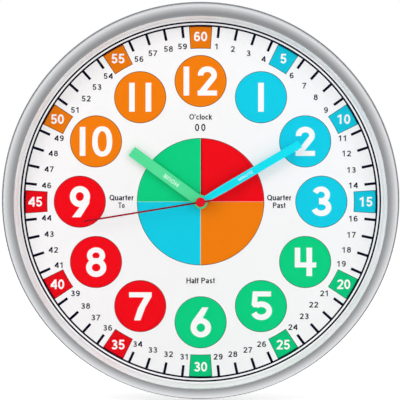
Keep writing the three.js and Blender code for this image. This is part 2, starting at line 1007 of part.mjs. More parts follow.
function coilWinding() {
  const left = stator.left + stator.armWidth + fitGap + coil.flangeThick + slipGap;
  const right = stator.right - stator.armWidth - fitGap - coil.flangeThick - slipGap;
  const inner = boreRadius(coil.tubeRadius + runningFit, arborSteps);
  return turnedAlongX(
    [
      [inner, left],
      [coil.windingRadius, left],
      [coil.windingRadius, right],
      [inner, right],
    ],
    arborSteps,
    coil.height,
    stator.depth + stator.thick + coil.coreThick / 2,
  );
}

function circuitBoard() {
  const left = -innerHalf + fitGap;
  const right = -innerHalf + board.width;
  const bottom = innerHalf - board.height;
  const top = innerHalf - fitGap;
  return plate(
    [
      [left, bottom],
      [right, bottom],
      [right, top],
      [left + movement.cornerRadius, top],
      [left, top - movement.cornerRadius],
    ],
    board.depth,
    board.depth + board.thick,
  );
}

function chipBlob() {
  const back = board.depth + board.thick;
  const spot = { x: -innerHalf + board.width / 2, z: innerHalf - board.height / 2 };
  return turned(
    [
      [0, back],
      [chip.radius, back],
      [chip.radius, back + chip.edge],
      [chip.crownRadius, back + chip.height],
      [0, back + chip.height],
    ],
    arborSteps,
    spot,
  );
}

function quartzCrystal() {
  const left = -innerHalf + crystal.inset;
  const height = innerHalf - board.height + crystal.rise;
  const depth = board.depth + board.thick + crystal.radius + runningFit;
  return turnedAlongX(
    [
      [0, left],
      [crystal.radius, left],
      [crystal.radius, left + crystal.length],
      [0, left + crystal.length],
    ],
    arborSteps,
    height,
    depth,
  );
}

// AA cell lying in the bay, its nub to the right
function batteryCell() {
  const left = batteryLeft();
  const right = left + battery.bodyLength;
  return turnedAlongX(
    [
      [0, left],
      [battery.radius, left],
      [battery.radius, right],
      [battery.nubRadius, right],
      [battery.nubRadius, right + battery.nubLength],
      [0, right + battery.nubLength],
    ],
    washerSteps,
    batteryHeight,
    batteryDepth,
  );
}

function batteryLeft() {
  return -innerHalf + slipGap + contact.thick + contact.foldDepth + fitGap;
}

function positiveContact() {
  const left = batteryLeft() + battery.bodyLength + battery.nubLength + fitGap;
  return block(
    left,
    left + contact.thick,
    batteryHeight - contact.width / 2,
    batteryHeight + contact.width / 2,
    batteryDepth - contact.height / 2,
    batteryDepth + contact.height / 2,
  );
}

// Leaf spring folded from strip: one leg on the wall, one bowed towards the cell
function negativeContact() {
  const wallSide = -innerHalf + slipGap;
  const legFront = wallSide + contact.thick;
  const crown = legFront + contact.foldDepth;
  const rear = batteryDepth - contact.height / 2;
  const front = batteryDepth + contact.height / 2;
  const shape = new THREE.Shape(
    [
      [wallSide, rear],
      [legFront, rear],
      [legFront, front - 2 * contact.thick],
      [crown - contact.thick, batteryDepth],
      [legFront + contact.thick, rear],
      [legFront + 2 * contact.thick, rear],
      [crown, batteryDepth],
      [legFront + contact.thick, front],
      [wallSide, front],
    ].map(([x, depth]) => new THREE.Vector2(x, -depth)),
  );
  const geometry = new THREE.ExtrudeGeometry(shape, { depth: contact.width, bevelEnabled: false });
  geometry.translate(0, 0, batteryHeight - contact.width / 2);
  return solidOf(geometry);
}

// Setting knob with a milled rim, its arbor and the pinion that turns the transfer wheel
function settingKnob() {
  const floorBackDepth = cup.depth - cup.floorThick;
  const knobFront = floorBackDepth - slipGap;
  const knobBack = knobFront - knob.thick;
  const outline = [];
  for (let i = 0; i < 2 * knobGripCount; i += 1) {
    const radius = knob.radius - (i % 2) * knob.gripDepth;
    const spot = polar(radius, (halfTurn * i) / knobGripCount);
    outline.push([spot.x, spot.z]);
  }
  const pinionFront = layer.motionWork + motionThick;
  return joined(
    plate(outline, knobBack, knobFront),
    rod(knob.arborRadius, knobFront - joinOverlap, pinionFront, arborSteps),
    rod(bearing.studRadius, pinionFront - joinOverlap, pinionFront + knob.pivotLength, arborSteps),
    gear(pinionForm, teeth.settingPinion, modules.transfer, layer.motionWork, motionThick),
  );
}

function rotorPinion() {
  const front = bridgeFront - slipGap;
  return joined(
    rod(plainArbor.radius, bearing.rearDepth, front, arborSteps),
    gear(
      pinionForm,
      teeth.rotorPinion,
      modules.rotor,
      layer.intermediateWheel - pinionProud,
      wheelThick + 2 * pinionProud,
    ),
  );
}

function intermediateWheel() {
  const front = bridgeFront - slipGap;
  const pinionBack = layer.secondWheel - pinionProud;
  return joined(
    rod(plainArbor.radius, bearing.rearDepth, front, arborSteps),
    gear(wheelForm, teeth.intermediateWheel, modules.rotor, layer.intermediateWheel, wheelThick),
    gear(
      pinionForm,
      teeth.intermediatePinion,
      modules.intermediate,
      pinionBack,
      wheelThick + pinionProud + slipGap / 2,
    ),
  );
}

// Wheel and pinion moulded in one, with a bore for the steel arbor
function secondWheel() {
  const pinionBack = layer.thirdWheel - pinionProud;
  const pinionThick = wheelThick + 2 * pinionProud;
  const body = joined(
    gear(wheelForm, teeth.secondWheel, modules.intermediate, layer.secondWheel, wheelThick),
    rod(2 * secondArbor.radius, layer.secondWheel, pinionBack + joinOverlap, arborSteps),
    gear(pinionForm, teeth.secondPinion, modules.third, pinionBack, pinionThick),
  );
  return body.subtract(
    hole(secondArbor.radius + runningFit, layer.secondWheel, pinionBack + pinionThick, arborSteps),
  );
}

function thirdWheel() {
  const pinionBack = layer.centreWheel - pinionProud;
  return joined(
    rod(plainArbor.radius, bearing.rearDepth, thirdArborFront(), arborSteps),
    gear(wheelForm, teeth.thirdWheel, modules.third, layer.thirdWheel, wheelThick),
    gear(pinionForm, teeth.thirdPinion, modules.centre, pinionBack, wheelThick + 2 * pinionProud),
  );
}

function centreWheel() {
  return gear(wheelForm, teeth.centreWheel, modules.centre, layer.centreWheel, wheelThick).subtract(
    hole(
      minuteArbor.radius + runningFit,
      layer.centreWheel,
      layer.centreWheel + wheelThick,
      washerSteps,
    ),
  );
}

// Tube with the cannon pinion and a shoulder in front of the centre wheel's friction fit
function minuteArborTube() {
  const shoulderBack = layer.centreWheel + wheelThick + slipGap / 2;
  const body = joined(
    rod(minuteArbor.radius, minuteArborBack, minuteArborEnd, washerSteps),
    rod(
      minuteArbor.shoulderRadius,
      shoulderBack,
      shoulderBack + minuteArbor.shoulderThick,
      washerSteps,
    ),
    gear(pinionForm, teeth.cannonPinion, modules.transfer, layer.motionWork, motionThick),
  );
  return body.subtract(hole(minuteArbor.bore, minuteArborBack, minuteArborEnd, washerSteps));
}

function transferWheel() {
  const pinionFront = layer.hourWheel + motionThick;
  const body = joined(
    gear(wheelForm, teeth.transferWheel, modules.transfer, layer.motionWork, motionThick),
    gear(
      pinionForm,
      teeth.transferPinion,
      modules.hour,
      layer.motionWork,
      pinionFront - layer.motionWork,
    ),
  );
  return body.subtract(
    hole(bearing.studRadius + runningFit, layer.motionWork, pinionFront, arborSteps),
  );
}

function hourWheel() {
  const body = joined(
    gear(wheelForm, teeth.hourWheel, modules.hour, layer.hourWheel, motionThick),
    rod(hourTube.radius, layer.hourWheel, hourTubeEnd, washerSteps),
  );
  return body.subtract(hole(hourTube.bore, layer.hourWheel, hourTubeEnd, washerSteps));
}

// Flat hand with a straight blade and a round eye
function bladeOutline(hand, rootWidth, taperEnd) {
  const half = hand.width / 2;
  const rootHalf = rootWidth / 2;
  return [
    [-rootHalf, 0],
    [rootHalf, 0],
    [half, taperEnd],
    [half, hand.length],
    [-half, hand.length],
    [-half, taperEnd],
  ];
}

function collaredHand(hand, collar, bore, back, rootWidth, taperEnd) {
  const front = back + hand.thick;
  const body = joined(
    plate(bladeOutline(hand, rootWidth, taperEnd), back, front),
    rod(hand.eyeRadius, back, front, washerSteps),
    rod(collar.radius, back - collar.below, front + collar.above, washerSteps),
  );
  return body.subtract(hole(bore, back - collar.below, front + collar.above, washerSteps));
}

function secondHandBlade() {
  const front = secondHandBack + secondHand.thick;
  const half = secondHand.width / 2;
  const body = joined(
    block(-half, half, -secondHand.tail, secondHand.length, secondHandBack, front),
    rod(secondHand.eyeRadius, secondHandBack, front, washerSteps),
  );
  return body.subtract(hole(pipe.radius + runningFit, secondHandBack, front, arborSteps));
}

// Brass pipe that carries the second hand on its arbor, with a flange behind the hand
function secondHandPipe() {
  const bore = boreRadius(secondArbor.radius + runningFit, arborSteps);
  const flangeBack = secondHandBack - pipe.flangeThick;
  return turned(
    [
      [bore, flangeBack - pipe.below],
      [pipe.radius, flangeBack - pipe.below],
      [pipe.radius, flangeBack],
      [pipe.flangeRadius, flangeBack],
      [pipe.flangeRadius, secondHandBack],
      [pipe.radius, secondHandBack],
      [pipe.radius, capBack],
      [bore, capBack],
    ],
    arborSteps,
  );
}

function secondHandCap() {
  const front = capBack + handCap.height;
  const socketBottom = secondArborEnd + slipGap;
  const socket = boreRadius(secondArbor.radius + runningFit, arborSteps);
  const profile = [[0, socketBottom], [socket, socketBottom], [socket, capBack]];
  profile.push([handCap.radius, capBack]);
  const crownHeight = handCap.height - handCap.edge;
  for (let i = 0; i < rollSteps; i += 1) {
    const angle = (Math.PI / 2) * (i / rollSteps);
    profile.push([
      handCap.radius * Math.cos(angle),
      capBack + handCap.edge + crownHeight * Math.sin(angle),
    ]);
  }
  profile.push([0, front]);
  return turned(profile, washerSteps);
}

// Ring nut, small enough to hide behind the eye of the hour hand, with a slot for its driver
function mountingNut() {
  const front = washerFront + clamp.nutThick;
  const slotHalf = clamp.slotWidth / 2;
  const slotBack = front - clamp.slotDepth;
  const reach = clamp.nutRadius + cutOverrun;
  return without(
    rod(clamp.nutRadius, washerFront, front, washerSteps),
    hole(movement.neckRadius + runningFit, washerFront, front, washerSteps),
    block(-reach, reach, -slotHalf, slotHalf, slotBack, front + cutOverrun),
  );
}

// Case
addPiece("rear_housing", rearHousing(), greyPlastic);
addPiece("bezel", domedRing(), silverPaint);
addPiece("lens", rod(nestedRadius, lensBack, lensFront, caseSteps), clearPlastic);
addPiece("lens_spacer_ring", spacerRing(), whitePlastic);
addPiece(
  "dial",
  ring(clampHoleRadius, nestedRadius, floorFront, dialFront, caseSteps),
  dialWhite,
);
caseScrewSpots().forEach((spot, i) => {
  addPiece("case_screw_" + (i + 1), screw(caseScrew, 0, centreSpot), zincPlate, spot);
});
addPiece("hanger_plate", hangerPlate(), zincPlate);
hangerScrewSpots().forEach((spot, i) => {
  const headBack = hanger.plateDepth - hangerScrew.headThick;
  addPiece("hanger_screw_" + (i + 1), screw(hangerScrew, headBack, centreSpot), zincPlate, spot);
});

// Clamp between the movement and the case
const neckClearRadius = movement.neckRadius + runningFit;
addPiece(
  "rubber_washer",
  ring(neckClearRadius, clamp.rubberRadius, movement.depth, floorBack, washerSteps),
  rubber,
);
addPiece(
  "mounting_washer",
  ring(neckClearRadius, clamp.nutRadius, dialFront, washerFront, washerSteps),
  brass,
);
addPiece("mounting_nut", mountingNut(), brass);

// Movement box and electrics
addPiece("movement_front_housing", movementFrontHousing(), blackPlastic);
addPiece("movement_rear_cover", movementRearCover(), blackPlastic);
addPiece("train_bridge", trainBridge(), naturalPlastic);
addPiece("battery", batteryCell(), batterySleeve);
addPiece("battery_contact_positive", positiveContact(), steel);
addPiece("battery_contact_negative", negativeContact(), steel);
addPiece("circuit_board", circuitBoard(), boardGreen);
addPiece("chip_blob", chipBlob(), blackPlastic);
addPiece("quartz_crystal", quartzCrystal(), steel);
addPiece("stator", statorYoke(), steel);
addPiece("coil_core", coilCore(), steel);
addPiece("coil_bobbin", coilBobbin(), naturalPlastic);
addPiece("coil_winding", coilWinding(), copper);

// Gear train
addPiece("rotor_pinion", rotorPinion(), naturalPlastic, rotorSpot, toothAt.rotor);
addPiece(
  "rotor_magnet",
  ring(
    plainArbor.radius + runningFit,
    rotor.radius,
    rotor.depth,
    rotor.depth + rotor.thick,
    washerSteps,
  ),
  magnetGrey,
  rotorSpot,
);
addPiece(
  "intermediate_wheel",
  intermediateWheel(),
  naturalPlastic,
  intermediateSpot,
  toothAt.intermediate,
);
addPiece("second_wheel", secondWheel(), naturalPlastic, centreSpot, toothAt.second);
addPiece("second_arbor", rod(secondArbor.radius, bearing.rearDepth, secondArborEnd, arborSteps), steel);
addPiece("third_wheel", thirdWheel(), naturalPlastic, thirdSpot, toothAt.third);
addPiece("centre_wheel", centreWheel(), naturalPlastic, centreSpot, toothAt.centre);
addPiece("minute_arbor", minuteArborTube(), naturalPlastic, centreSpot, toothAt.cannon);
addPiece("transfer_wheel", transferWheel(), naturalPlastic, transferSpot, toothAt.transfer);
addPiece("hour_wheel", hourWheel(), naturalPlastic, centreSpot, toothAt.hour);
addPiece("setting_knob", settingKnob(), blackPlastic, knobSpot, toothAt.setting);

// Hands
addPiece(
  "hour_hand",
  collaredHand(
    hourHand,
    hourCollar,
    hourTube.radius + runningFit,
    hourHandBack,
    hourHand.width,
    hourHand.eyeRadius,
  ),
  greenPaint,
  centreSpot,
  hourHand.bearing,
);
addPiece(
  "minute_hand",
  collaredHand(
    minuteHand,
    minuteCollar,
    minuteArbor.radius + runningFit,
    minuteHandBack,
    minuteHand.neckWidth,
    minuteHand.taperEnd,
  ),
  cyanPaint,
  centreSpot,
  minuteHand.bearing,
);
addPiece("second_hand", secondHandBlade(), redPaint, centreSpot, secondHand.bearing);
addPiece("second_hand_pipe", secondHandPipe(), brass);
addPiece("second_hand_cap", secondHandCap(), redPaint);

export default clock;
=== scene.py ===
import math

import bpy
from mathutils import Matrix, Vector


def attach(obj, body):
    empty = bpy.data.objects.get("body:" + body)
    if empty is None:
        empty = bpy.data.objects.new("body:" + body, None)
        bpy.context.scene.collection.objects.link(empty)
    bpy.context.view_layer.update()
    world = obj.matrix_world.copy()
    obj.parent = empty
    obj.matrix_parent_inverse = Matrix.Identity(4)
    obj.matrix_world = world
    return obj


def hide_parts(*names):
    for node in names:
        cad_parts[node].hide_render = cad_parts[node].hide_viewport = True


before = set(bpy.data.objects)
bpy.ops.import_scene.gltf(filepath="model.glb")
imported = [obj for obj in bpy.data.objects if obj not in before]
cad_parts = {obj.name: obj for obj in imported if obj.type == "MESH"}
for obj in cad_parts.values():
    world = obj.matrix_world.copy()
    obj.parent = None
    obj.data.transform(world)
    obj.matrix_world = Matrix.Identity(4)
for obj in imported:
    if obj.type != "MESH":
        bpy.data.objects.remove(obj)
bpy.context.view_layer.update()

# Places are worked out in millimetres: x to the right, z up, and depth in front of the wall.
MM = 0.001
MERGE = 1e-6
ROUND_STEPS = 192
SMALL_STEPS = 48
SMOOTH_ANGLE = math.radians(30)
# Joined pieces reach this far into one another, and cutters this far past what they cut
OVERLAP, OVERRUN = 0.2, 1.0

# Depths of the layers of the clock
FLANGE_FRONT = 3.0
REGISTER_BACK, COLLAR_BACK, RIB_BACK = 12.0, 12.8, 13.8
MOVEMENT_FRONT = 16.0
FLOOR_BACK, FLOOR_FRONT = 16.8, 18.8
DIAL_FRONT, WASHER_FRONT, NUT_FRONT = 19.6, 20.0, 22.0
HOUR_BACK, HOUR_FRONT = 23.2, 24.0
MINUTE_BACK, MINUTE_FRONT = 25.6, 26.3
SECOND_BACK, SECOND_FRONT = 27.8, 28.2
CAP_SHOULDER, CAP_FRONT = 28.7, 29.6
SHOULDER, CREST = 26.0, 35.2
LENS_BACK, LENS_FRONT = 30.6, 32.6

# Radii of the case
FLANGE = 150.0
SKIRT = 149.2
SCREW_CIRCLE = 145.5
DOME_WIDTH = 6.8
CREST_RADIUS = 141.2
CAVITY_MIDDLE, CAVITY_WIDTH, CAVITY_HEIGHT = 142.6, 3.4, 7.2
OPENING = 140.6
LIP, LIP_DROP = 0.4, 0.02
REGISTER, REGISTER_OUTER = 142.3, 143.8
NESTED = 142.0
WELL, WALL = 140.0, 141.8
SPACER_INNER, SPACER_TOP = 137.3, 140.4
NECK_HOLE = 4.2

# Radii round a screw: its boss, the hole that it bites, the hole that it passes, the seat of its head
BOSS, PILOT, WAY, SEAT = 2.4, 1.15, 1.25, 2.5
BOSS_FRONT, PILOT_FRONT, POST_PILOT_FRONT = 22.0, 15.0, 10.3
CASE_HEAD, HANGER_HEAD, SHANK = 1.2, 1.1, 1.1

# Clamp of the movement
CLAMP_BORE, CLAMP_RADIUS, SEAL_RADIUS = 3.95, 5.2, 9.0
COLLAR_WIDTH, COLLAR_WALL, COLLAR_CORNER = 59.8, 1.6, 4.9
RIB_WIDTH, RIB_START = 1.6, 42.3

# Hanger
NAIL_HEIGHT = 117.0
HANGER_MIDDLE = NAIL_HEIGHT - 4.5
HANGER_BACK, HANGER_FRONT = 2.0, 3.2
HANGER_WIDTH, HANGER_HEIGHT, HANGER_CORNER = 44.0, 18.0, 2.5
HANGER_SCREWS = ((-17.0, HANGER_MIDDLE), (17.0, HANGER_MIDDLE))
KEYHOLE, KEYHOLE_DROP, NAIL_SLOT = 4.6, 9.0, 2.3
POST = 4.0

# Print, each layer a little in front of the one that it lies on
INK = 0.05
GROUND_FRONT = DIAL_FRONT + INK
FIGURE_FRONT = GROUND_FRONT + INK
# The second width is that of a dark strip of painted shadow beside one seam between the quarters
EDGE_LINE, SEAM_SHADOW_WIDTH = 0.55, 0.9
HOUR_CIRCLE, HOUR_DISC = 91.0, 19.6
CENTRE_DISC, CENTRE_HOLE, SEAM = 48.0, 5.0, 0.16
OUTER_LINE, OUTER_LINE_WIDTH = 135.4, 1.25
INNER_LINE, INNER_LINE_WIDTH = 132.8, 1.3
BLOCK_INNER, BLOCK_OUTER, BLOCK_HALF_ANGLE = 115.5, 132.15, 3.8
BLOCK_FIGURE_CIRCLE, BLOCK_FIGURE_HEIGHT = 124.6, 7.25
TICK_INNER, TICK_WIDTH = 124.1, 1.95
MINUTE_ACROSS, MINUTE_UP, MINUTE_FIGURE_HEIGHT = 116.7, 117.7, 4.3
WORD_HEIGHT, ZERO_HEIGHT = 4.2, 5.5
# Width of the pen as a share of the height
FIGURE_PEN, WORD_PEN = 0.18, 0.17

# Hands
HOUR_WIDTH, HOUR_LENGTH, HOUR_EYE, HOUR_HOLE = 8.1, 64.5, 5.4, 2.6
MINUTE_WIDTH, MINUTE_LENGTH, MINUTE_EYE, MINUTE_HOLE = 6.0, 86.8, 3.6, 1.65
MINUTE_NECK, MINUTE_NECK_END = 4.4, 20.0
SECOND_WIDTH, SECOND_LENGTH, SECOND_TAIL, SECOND_EYE, SECOND_HOLE = 1.3, 89.0, 8.0, 2.4, 1.05
CAP_RADIUS, SOCKET, SOCKET_FRONT = 3.65, 0.6, 29.05

# Bearing of each hand in the photograph, in degrees clockwise from 12, and its slot
HANDS = {"hour": (306.4, "hour_green"), "minute": (59.6, "minute_cyan"), "second": (260.7, "second_red")}

# Battery, lying across its bay
CELL_LEFT, CELL_RIGHT, CELL_NUB, CELL_RADIUS = -24.45, 25.05, 26.05, 7.25
CELL_HEIGHT, CELL_DEPTH = -19.6, 7.4
FILM_END = 13.5


def linear(red, green, blue):
    """A colour written as on a screen, 0 to 255, as the linear colour that shaders use."""
    values = (c / 255 for c in (red, green, blue))
    return tuple(v / 12.92 if v <= 0.04045 else ((v + 0.055) / 1.055) ** 2.4 for v in values)


# Materials


class Value:
    """A shader socket that can be used in sums."""

    def __init__(self, graph, socket):
        self.graph = graph
        self.socket = socket

    def __add__(self, other):
        return self.graph.combined("ADD", self, other)

    def __mul__(self, other):
        return self.graph.combined("MULTIPLY", self, other)


class Graph:
    """The nodes of a material or of the world."""

    def __init__(self, tree):
        self.tree = tree

    def node(self, kind, inputs=None, settings=None, output=0):
        """Any node, with the values or links of its sockets, and its settings."""
        node = self.tree.nodes.new(kind)
        for name, value in (settings or {}).items():
            setattr(node, name, value)
        for socket, value in (inputs or {}).items():
            self.feed(node.inputs[socket], value)
        return Value(self, node.outputs[output])

    def feed(self, socket, value):
        if isinstance(value, Value):
            self.tree.links.new(value.socket, socket)
        else:
            socket.default_value = value

    def combined(self, operation, one, other):
        """Two values through one Math node."""
        return self.node("ShaderNodeMath", {0: one, 1: other}, {"operation": operation})

    def parts(self, vector):
        """The x, y and z of a vector."""
        node = self.tree.nodes.new("ShaderNodeSeparateXYZ")
        self.feed(node.inputs[0], vector)
        return [Value(self, output) for output in node.outputs]


class Finish(Graph):
    """A material with one Principled shader and the nodes that vary it."""

    def __init__(self, name, colour, roughness, constants=None):
        self.material = bpy.data.materials.new(name)
        self.material.use_nodes = True
        super().__init__(self.material.node_tree)
        self.shader = self.tree.nodes["Principled BSDF"]
        self.colour = colour
        self.shader.inputs["Base Color"].default_value = (*colour, 1)
        self.shader.inputs["Roughness"].default_value = roughness
        for socket, value in (constants or {}).items():
            self.shader.inputs[socket].default_value = value

    def vary(self, socket, value):
        self.feed(self.shader.inputs[socket], value)

    def place(self, scale=(1, 1, 1)):
        """Object coordinates in metres, stretched where a grain runs one way."""
        coordinates = self.node("ShaderNodeTexCoord", output="Object")
        return self.node("ShaderNodeMapping", {"Vector": coordinates, "Scale": scale})

    def noise(self, size, detail=3, place=None):
        """Noise from 0 to 1 whose grains are about size millimetres."""
        inputs = {"Vector": place or self.place(), "Scale": 1 / (size * MM), "Detail": detail}
        return self.node("ShaderNodeTexNoise", inputs)

    def mix(self, factor, one, other):
        """A colour between two colours."""
        inputs = {0: factor, 6: one, 7: other}
        return self.node("ShaderNodeMix", inputs, {"data_type": "RGBA"}, 2)

    def shades(self, factor, depth):
        """The base colour, from depth darker to depth lighter as factor goes from 0 to 1."""
        dark = tuple(c * (1 - depth) for c in self.colour)
        light = tuple(min(1, c * (1 + depth)) for c in self.colour)
        self.vary("Base Color", self.mix(factor, (*dark, 1), (*light, 1)))

    def bump(self, height, distance):
        """A relief of distance millimetres."""
        inputs = {"Height": height, "Distance": distance * MM}
        self.vary("Normal", self.node("ShaderNodeBump", inputs))

    def dressed(self, shade, depth, roughness, relief, distance):
        """The material, once it has its shades, its roughness and its relief."""
        self.shades(shade, depth)
        self.vary("Roughness", roughness)
        self.bump(relief, distance)
        return self.material

    def surface(self, shader):
        self.feed(self.tree.nodes["Material Output"].inputs["Surface"], shader)


def moulded(name, colour, roughness, grain=0.35, relief=0.01, depth=0.05, gloss=0.5):
    """Moulded plastic with a fine spark-eroded grain and slow changes of gloss."""
    finish = Finish(name, linear(*colour), roughness, {"Specular IOR Level": gloss})
    fine = finish.noise(grain)
    slow = finish.noise(grain * 60, 2)
    uneven = fine * 0.12 + slow * 0.08 + (roughness - 0.1)
    return finish.dressed(slow, depth, uneven, fine, relief)


def printed(name, colour):
    """Screen-printed ink: even, with a faint mottle and the tooth of the sheet."""
    finish = Finish(name, linear(*colour), 0.5, {"Specular IOR Level": 0.05})
    mottle = finish.noise(6)
    tooth = finish.noise(0.25, 2)
    return finish.dressed(mottle, 0.02, tooth * 0.1 + 0.45, tooth, 0.003)


def painted(name, colour):
    """Sprayed paint on thin metal, with a slight orange peel."""
    finish = Finish(name, linear(*colour), 0.38, {"Specular IOR Level": 0.1})
    peel = finish.noise(1.1, 2)
    cloud = finish.noise(14, 2)
    return finish.dressed(cloud, 0.02, peel * 0.08 + 0.34, peel, 0.006)


def metallic(name, colour, roughness, grain=(1, 1, 1), size=0.2, relief=0.004, metal=1.0):
    """Bare or plated metal with a rolled, turned or tumbled grain."""
    finish = Finish(name, linear(*colour), roughness, {"Metallic": metal})
    lines = finish.noise(size, 2, finish.place(grain))
    stain = finish.noise(5)
    return finish.dressed(stain, 0.07, lines * 0.16 + (roughness - 0.08), lines, relief)


def two_tone(name, colour, second, limit):
    """Glossy film on a can, of a second colour beyond a limit in millimetres to the right."""
    colour, second = linear(*colour), linear(*second)
    finish = Finish(name, colour, 0.3, {"Metallic": 0.6})
    right = finish.parts(finish.place())[0]
    beyond = finish.combined("GREATER_THAN", right, limit * MM)
    cloud = finish.noise(6, 2)
    pale = finish.mix(cloud, (*second, 1), (*(min(1, c * 1.06) for c in second), 1))
    deep = finish.mix(cloud, (*colour, 1), (*(c * 1.1 for c in colour), 1))
    finish.vary("Base Color", finish.mix(beyond, deep, pale))
    finish.vary("Roughness", cloud * 0.08 + 0.24)
    return finish.material


def silver_paint():
    """Silver lacquer with metal flakes, sprayed on the moulded ring."""
    finish = Finish("silver_lacquer", linear(236, 237, 240), 0.24, {"Metallic": 1.0})
    flakes = finish.noise(0.3, 2)
    shade = flakes * 0.6 + finish.noise(25, 2) * 0.4
    return finish.dressed(shade, 0.06, flakes * 0.12 + 0.18, flakes, 0.003)


def clear_acrylic():
    """Clear sheet: a faint reflection that grows towards its edges, and the rest goes straight through."""
    finish = Finish("clear_acrylic", (1, 1, 1), 0.02, {"Metallic": 1.0})
    finish.vary("Roughness", finish.noise(30, 2) * 0.02 + 0.01)
    gloss = finish.node("ShaderNodeFresnel", {"IOR": 1.1})
    open_way = finish.node("ShaderNodeBsdfTransparent")
    shader = Value(finish, finish.shader.outputs[0])
    finish.surface(finish.node("ShaderNodeMixShader", {0: gloss, 1: open_way, 2: shader}))
    return finish.material


def dial_sheet():
    """White coated sheet with a faint fibre and an even satin."""
    finish = Finish("dial_sheet", linear(249, 249, 250), 0.5, {"Specular IOR Level": 0.1})
    fibre = finish.noise(0.3)
    shade = finish.noise(40, 2) * 0.5 + fibre * 0.5
    return finish.dressed(shade, 0.012, fibre * 0.1 + 0.45, fibre, 0.004)


# Outlines, as closed runs of (x, z) corners


def spread(start, end, steps):
    """Even steps from start to end, with both of them."""
    return [start + (end - start) * i / steps for i in range(steps + 1)]


def arc(x, z, across, up, start, end, steps=24):
    """Points on an ellipse; angles in degrees, anticlockwise from three o'clock."""
    angles = [math.radians(angle) for angle in spread(start, end, steps)]
    return [(x + across * math.cos(angle), z + up * math.sin(angle)) for angle in angles]


def oval(x, z, across, up, steps=48, fullness=2.0):
    """An ellipse, or with more fullness a shape between an ellipse and a rectangle."""
    share = 2 / fullness
    points = []
    for i in range(steps):
        angle = 2 * math.pi * i / steps
        c, s = math.cos(angle), math.sin(angle)
        right = across * math.copysign(abs(c) ** share, c)
        points.append((x + right, z + up * math.copysign(abs(s) ** share, s)))
    return points


def circle(radius, steps=96, spot=(0, 0)):
    return oval(*spot, radius, radius, steps)


def around(radius, bearing):
    """The corner at a radius, and at a bearing in degrees clockwise from 12."""
    angle = math.radians(bearing)
    return radius * math.sin(angle), radius * math.cos(angle)


def sector(inner, outer, start, end, steps):
    """Part of a ring between two bearings."""
    bearings = spread(start, end, steps)
    return [around(outer, b) for b in bearings] + [around(inner, b) for b in reversed(bearings)]


def bar(left, right, bottom, top):
    return [(left, bottom), (right, bottom), (right, top), (left, top)]


def strip(width, bottom, top):
    """A bar with its middle above the axis."""
    return bar(-width / 2, width / 2, bottom, top)


def rounded(width, height, radius, steps=8):
    """A rectangle round the middle with round corners."""
    x, z = width / 2 - radius, height / 2 - radius
    points = []
    for across, up, start in ((x, z, 0), (-x, z, 90), (-x, -z, 180), (x, -z, 270)):
        points += arc(across, up, radius, radius, start, start + 90, steps)
    return points


def pen(line, width):
    """The outline of a stroke of even width along a line of points."""
    left, right = [], []
    last = len(line) - 1
    for i, (x, z) in enumerate(line):
        before, after = line[max(i - 1, 0)], line[min(i + 1, last)]
        along = Vector((after[0] - before[0], after[1] - before[1])).normalized()
        side = Vector((-along.y, along.x)) * width / 2
        left.append((x + side.x, z + side.y))
        right.append((x - side.x, z - side.y))
    return left + right[::-1]


def scaled(outline, across, up):
    return [(a * across, b * up) for a, b in outline]


CASE_SCREWS = tuple(around(SCREW_CIRCLE, 60 * i + 30) for i in range(6))


# Modelling


def deselect():
    bpy.ops.object.select_all(action="DESELECT")


def pick(obj):
    deselect()
    obj.select_set(True)
    bpy.context.view_layer.objects.active = obj


def at(x, z, depth=0.0):
    """A place in metres from millimetres to the right, up and in front of the wall."""
    return Vector((x * MM, -depth * MM, z * MM))


def edit(obj):
    """Opens a mesh with all of it selected."""
    pick(obj)
    bpy.ops.object.mode_set(mode="EDIT")
    bpy.ops.mesh.select_all(action="SELECT")


def tidied(obj, smooth=True):
    """Merges what is double, turns the faces outwards and leaves the object at the origin."""
    edit(obj)
    bpy.ops.mesh.remove_doubles(threshold=MERGE)
    bpy.ops.mesh.normals_make_consistent(inside=False)
    bpy.ops.object.mode_set(mode="OBJECT")
    bpy.ops.object.transform_apply()
    if smooth:
        bpy.ops.object.shade_smooth_by_angle(angle=SMOOTH_ANGLE)
    return obj


def modified(obj, kind, **settings):
    """One modifier, applied."""
    pick(obj)
    modifier = obj.modifiers.new(kind.lower(), kind)
    for name, value in settings.items():
        setattr(modifier, name, value)
    bpy.ops.object.modifier_apply(modifier=modifier.name)
    return obj


def turned(name, section, steps=ROUND_STEPS, spot=(0, 0)):
    """A closed section of (radius, depth) corners, spun round an axis square to the wall."""
    places = [at(spot[0] + radius, spot[1], depth) for radius, depth in section]
    deselect()
    bpy.ops.mesh.primitive_plane_add(size=MM, location=places[0])
    obj = bpy.context.object
    obj.name = obj.data.name = name
    edit(obj)
    bpy.ops.mesh.merge(type="CENTER")
    for here, there in zip(places, places[1:] + places[:1]):
        bpy.ops.mesh.extrude_region_move(TRANSFORM_OT_translate={"value": there - here})
    bpy.ops.mesh.select_all(action="SELECT")
    bpy.ops.mesh.spin(steps=steps, angle=2 * math.pi, center=at(*spot), axis=(0, 1, 0))
    bpy.ops.object.mode_set(mode="OBJECT")
    return tidied(obj)


def flat(name, loops, back, front):
    """A flat piece between two depths, with closed outlines, holes among them."""
    deselect()
    bpy.ops.curve.primitive_bezier_circle_add(radius=1, location=(0, 0, 0))
    obj = bpy.context.object
    obj.name = name
    curve = obj.data
    curve.splines.clear()
    for loop in loops:
        spline = curve.splines.new("POLY")
        spline.points.add(len(loop) - 1)
        for point, (x, z) in zip(spline.points, loop):
            point.co = (x, z, 0, 1)
        spline.use_cyclic_u = True
    curve.dimensions = "2D"
    curve.fill_mode = "BOTH"
    curve.extrude = (front - back) / 2
    pick(obj)
    bpy.ops.object.convert(target="MESH")
    obj = bpy.context.object
    obj.rotation_euler.x = math.pi / 2
    obj.scale = (MM, MM, MM)
    obj.location.y = -(back + front) / 2 * MM
    obj.data.name = name
    return tidied(obj, smooth=False)


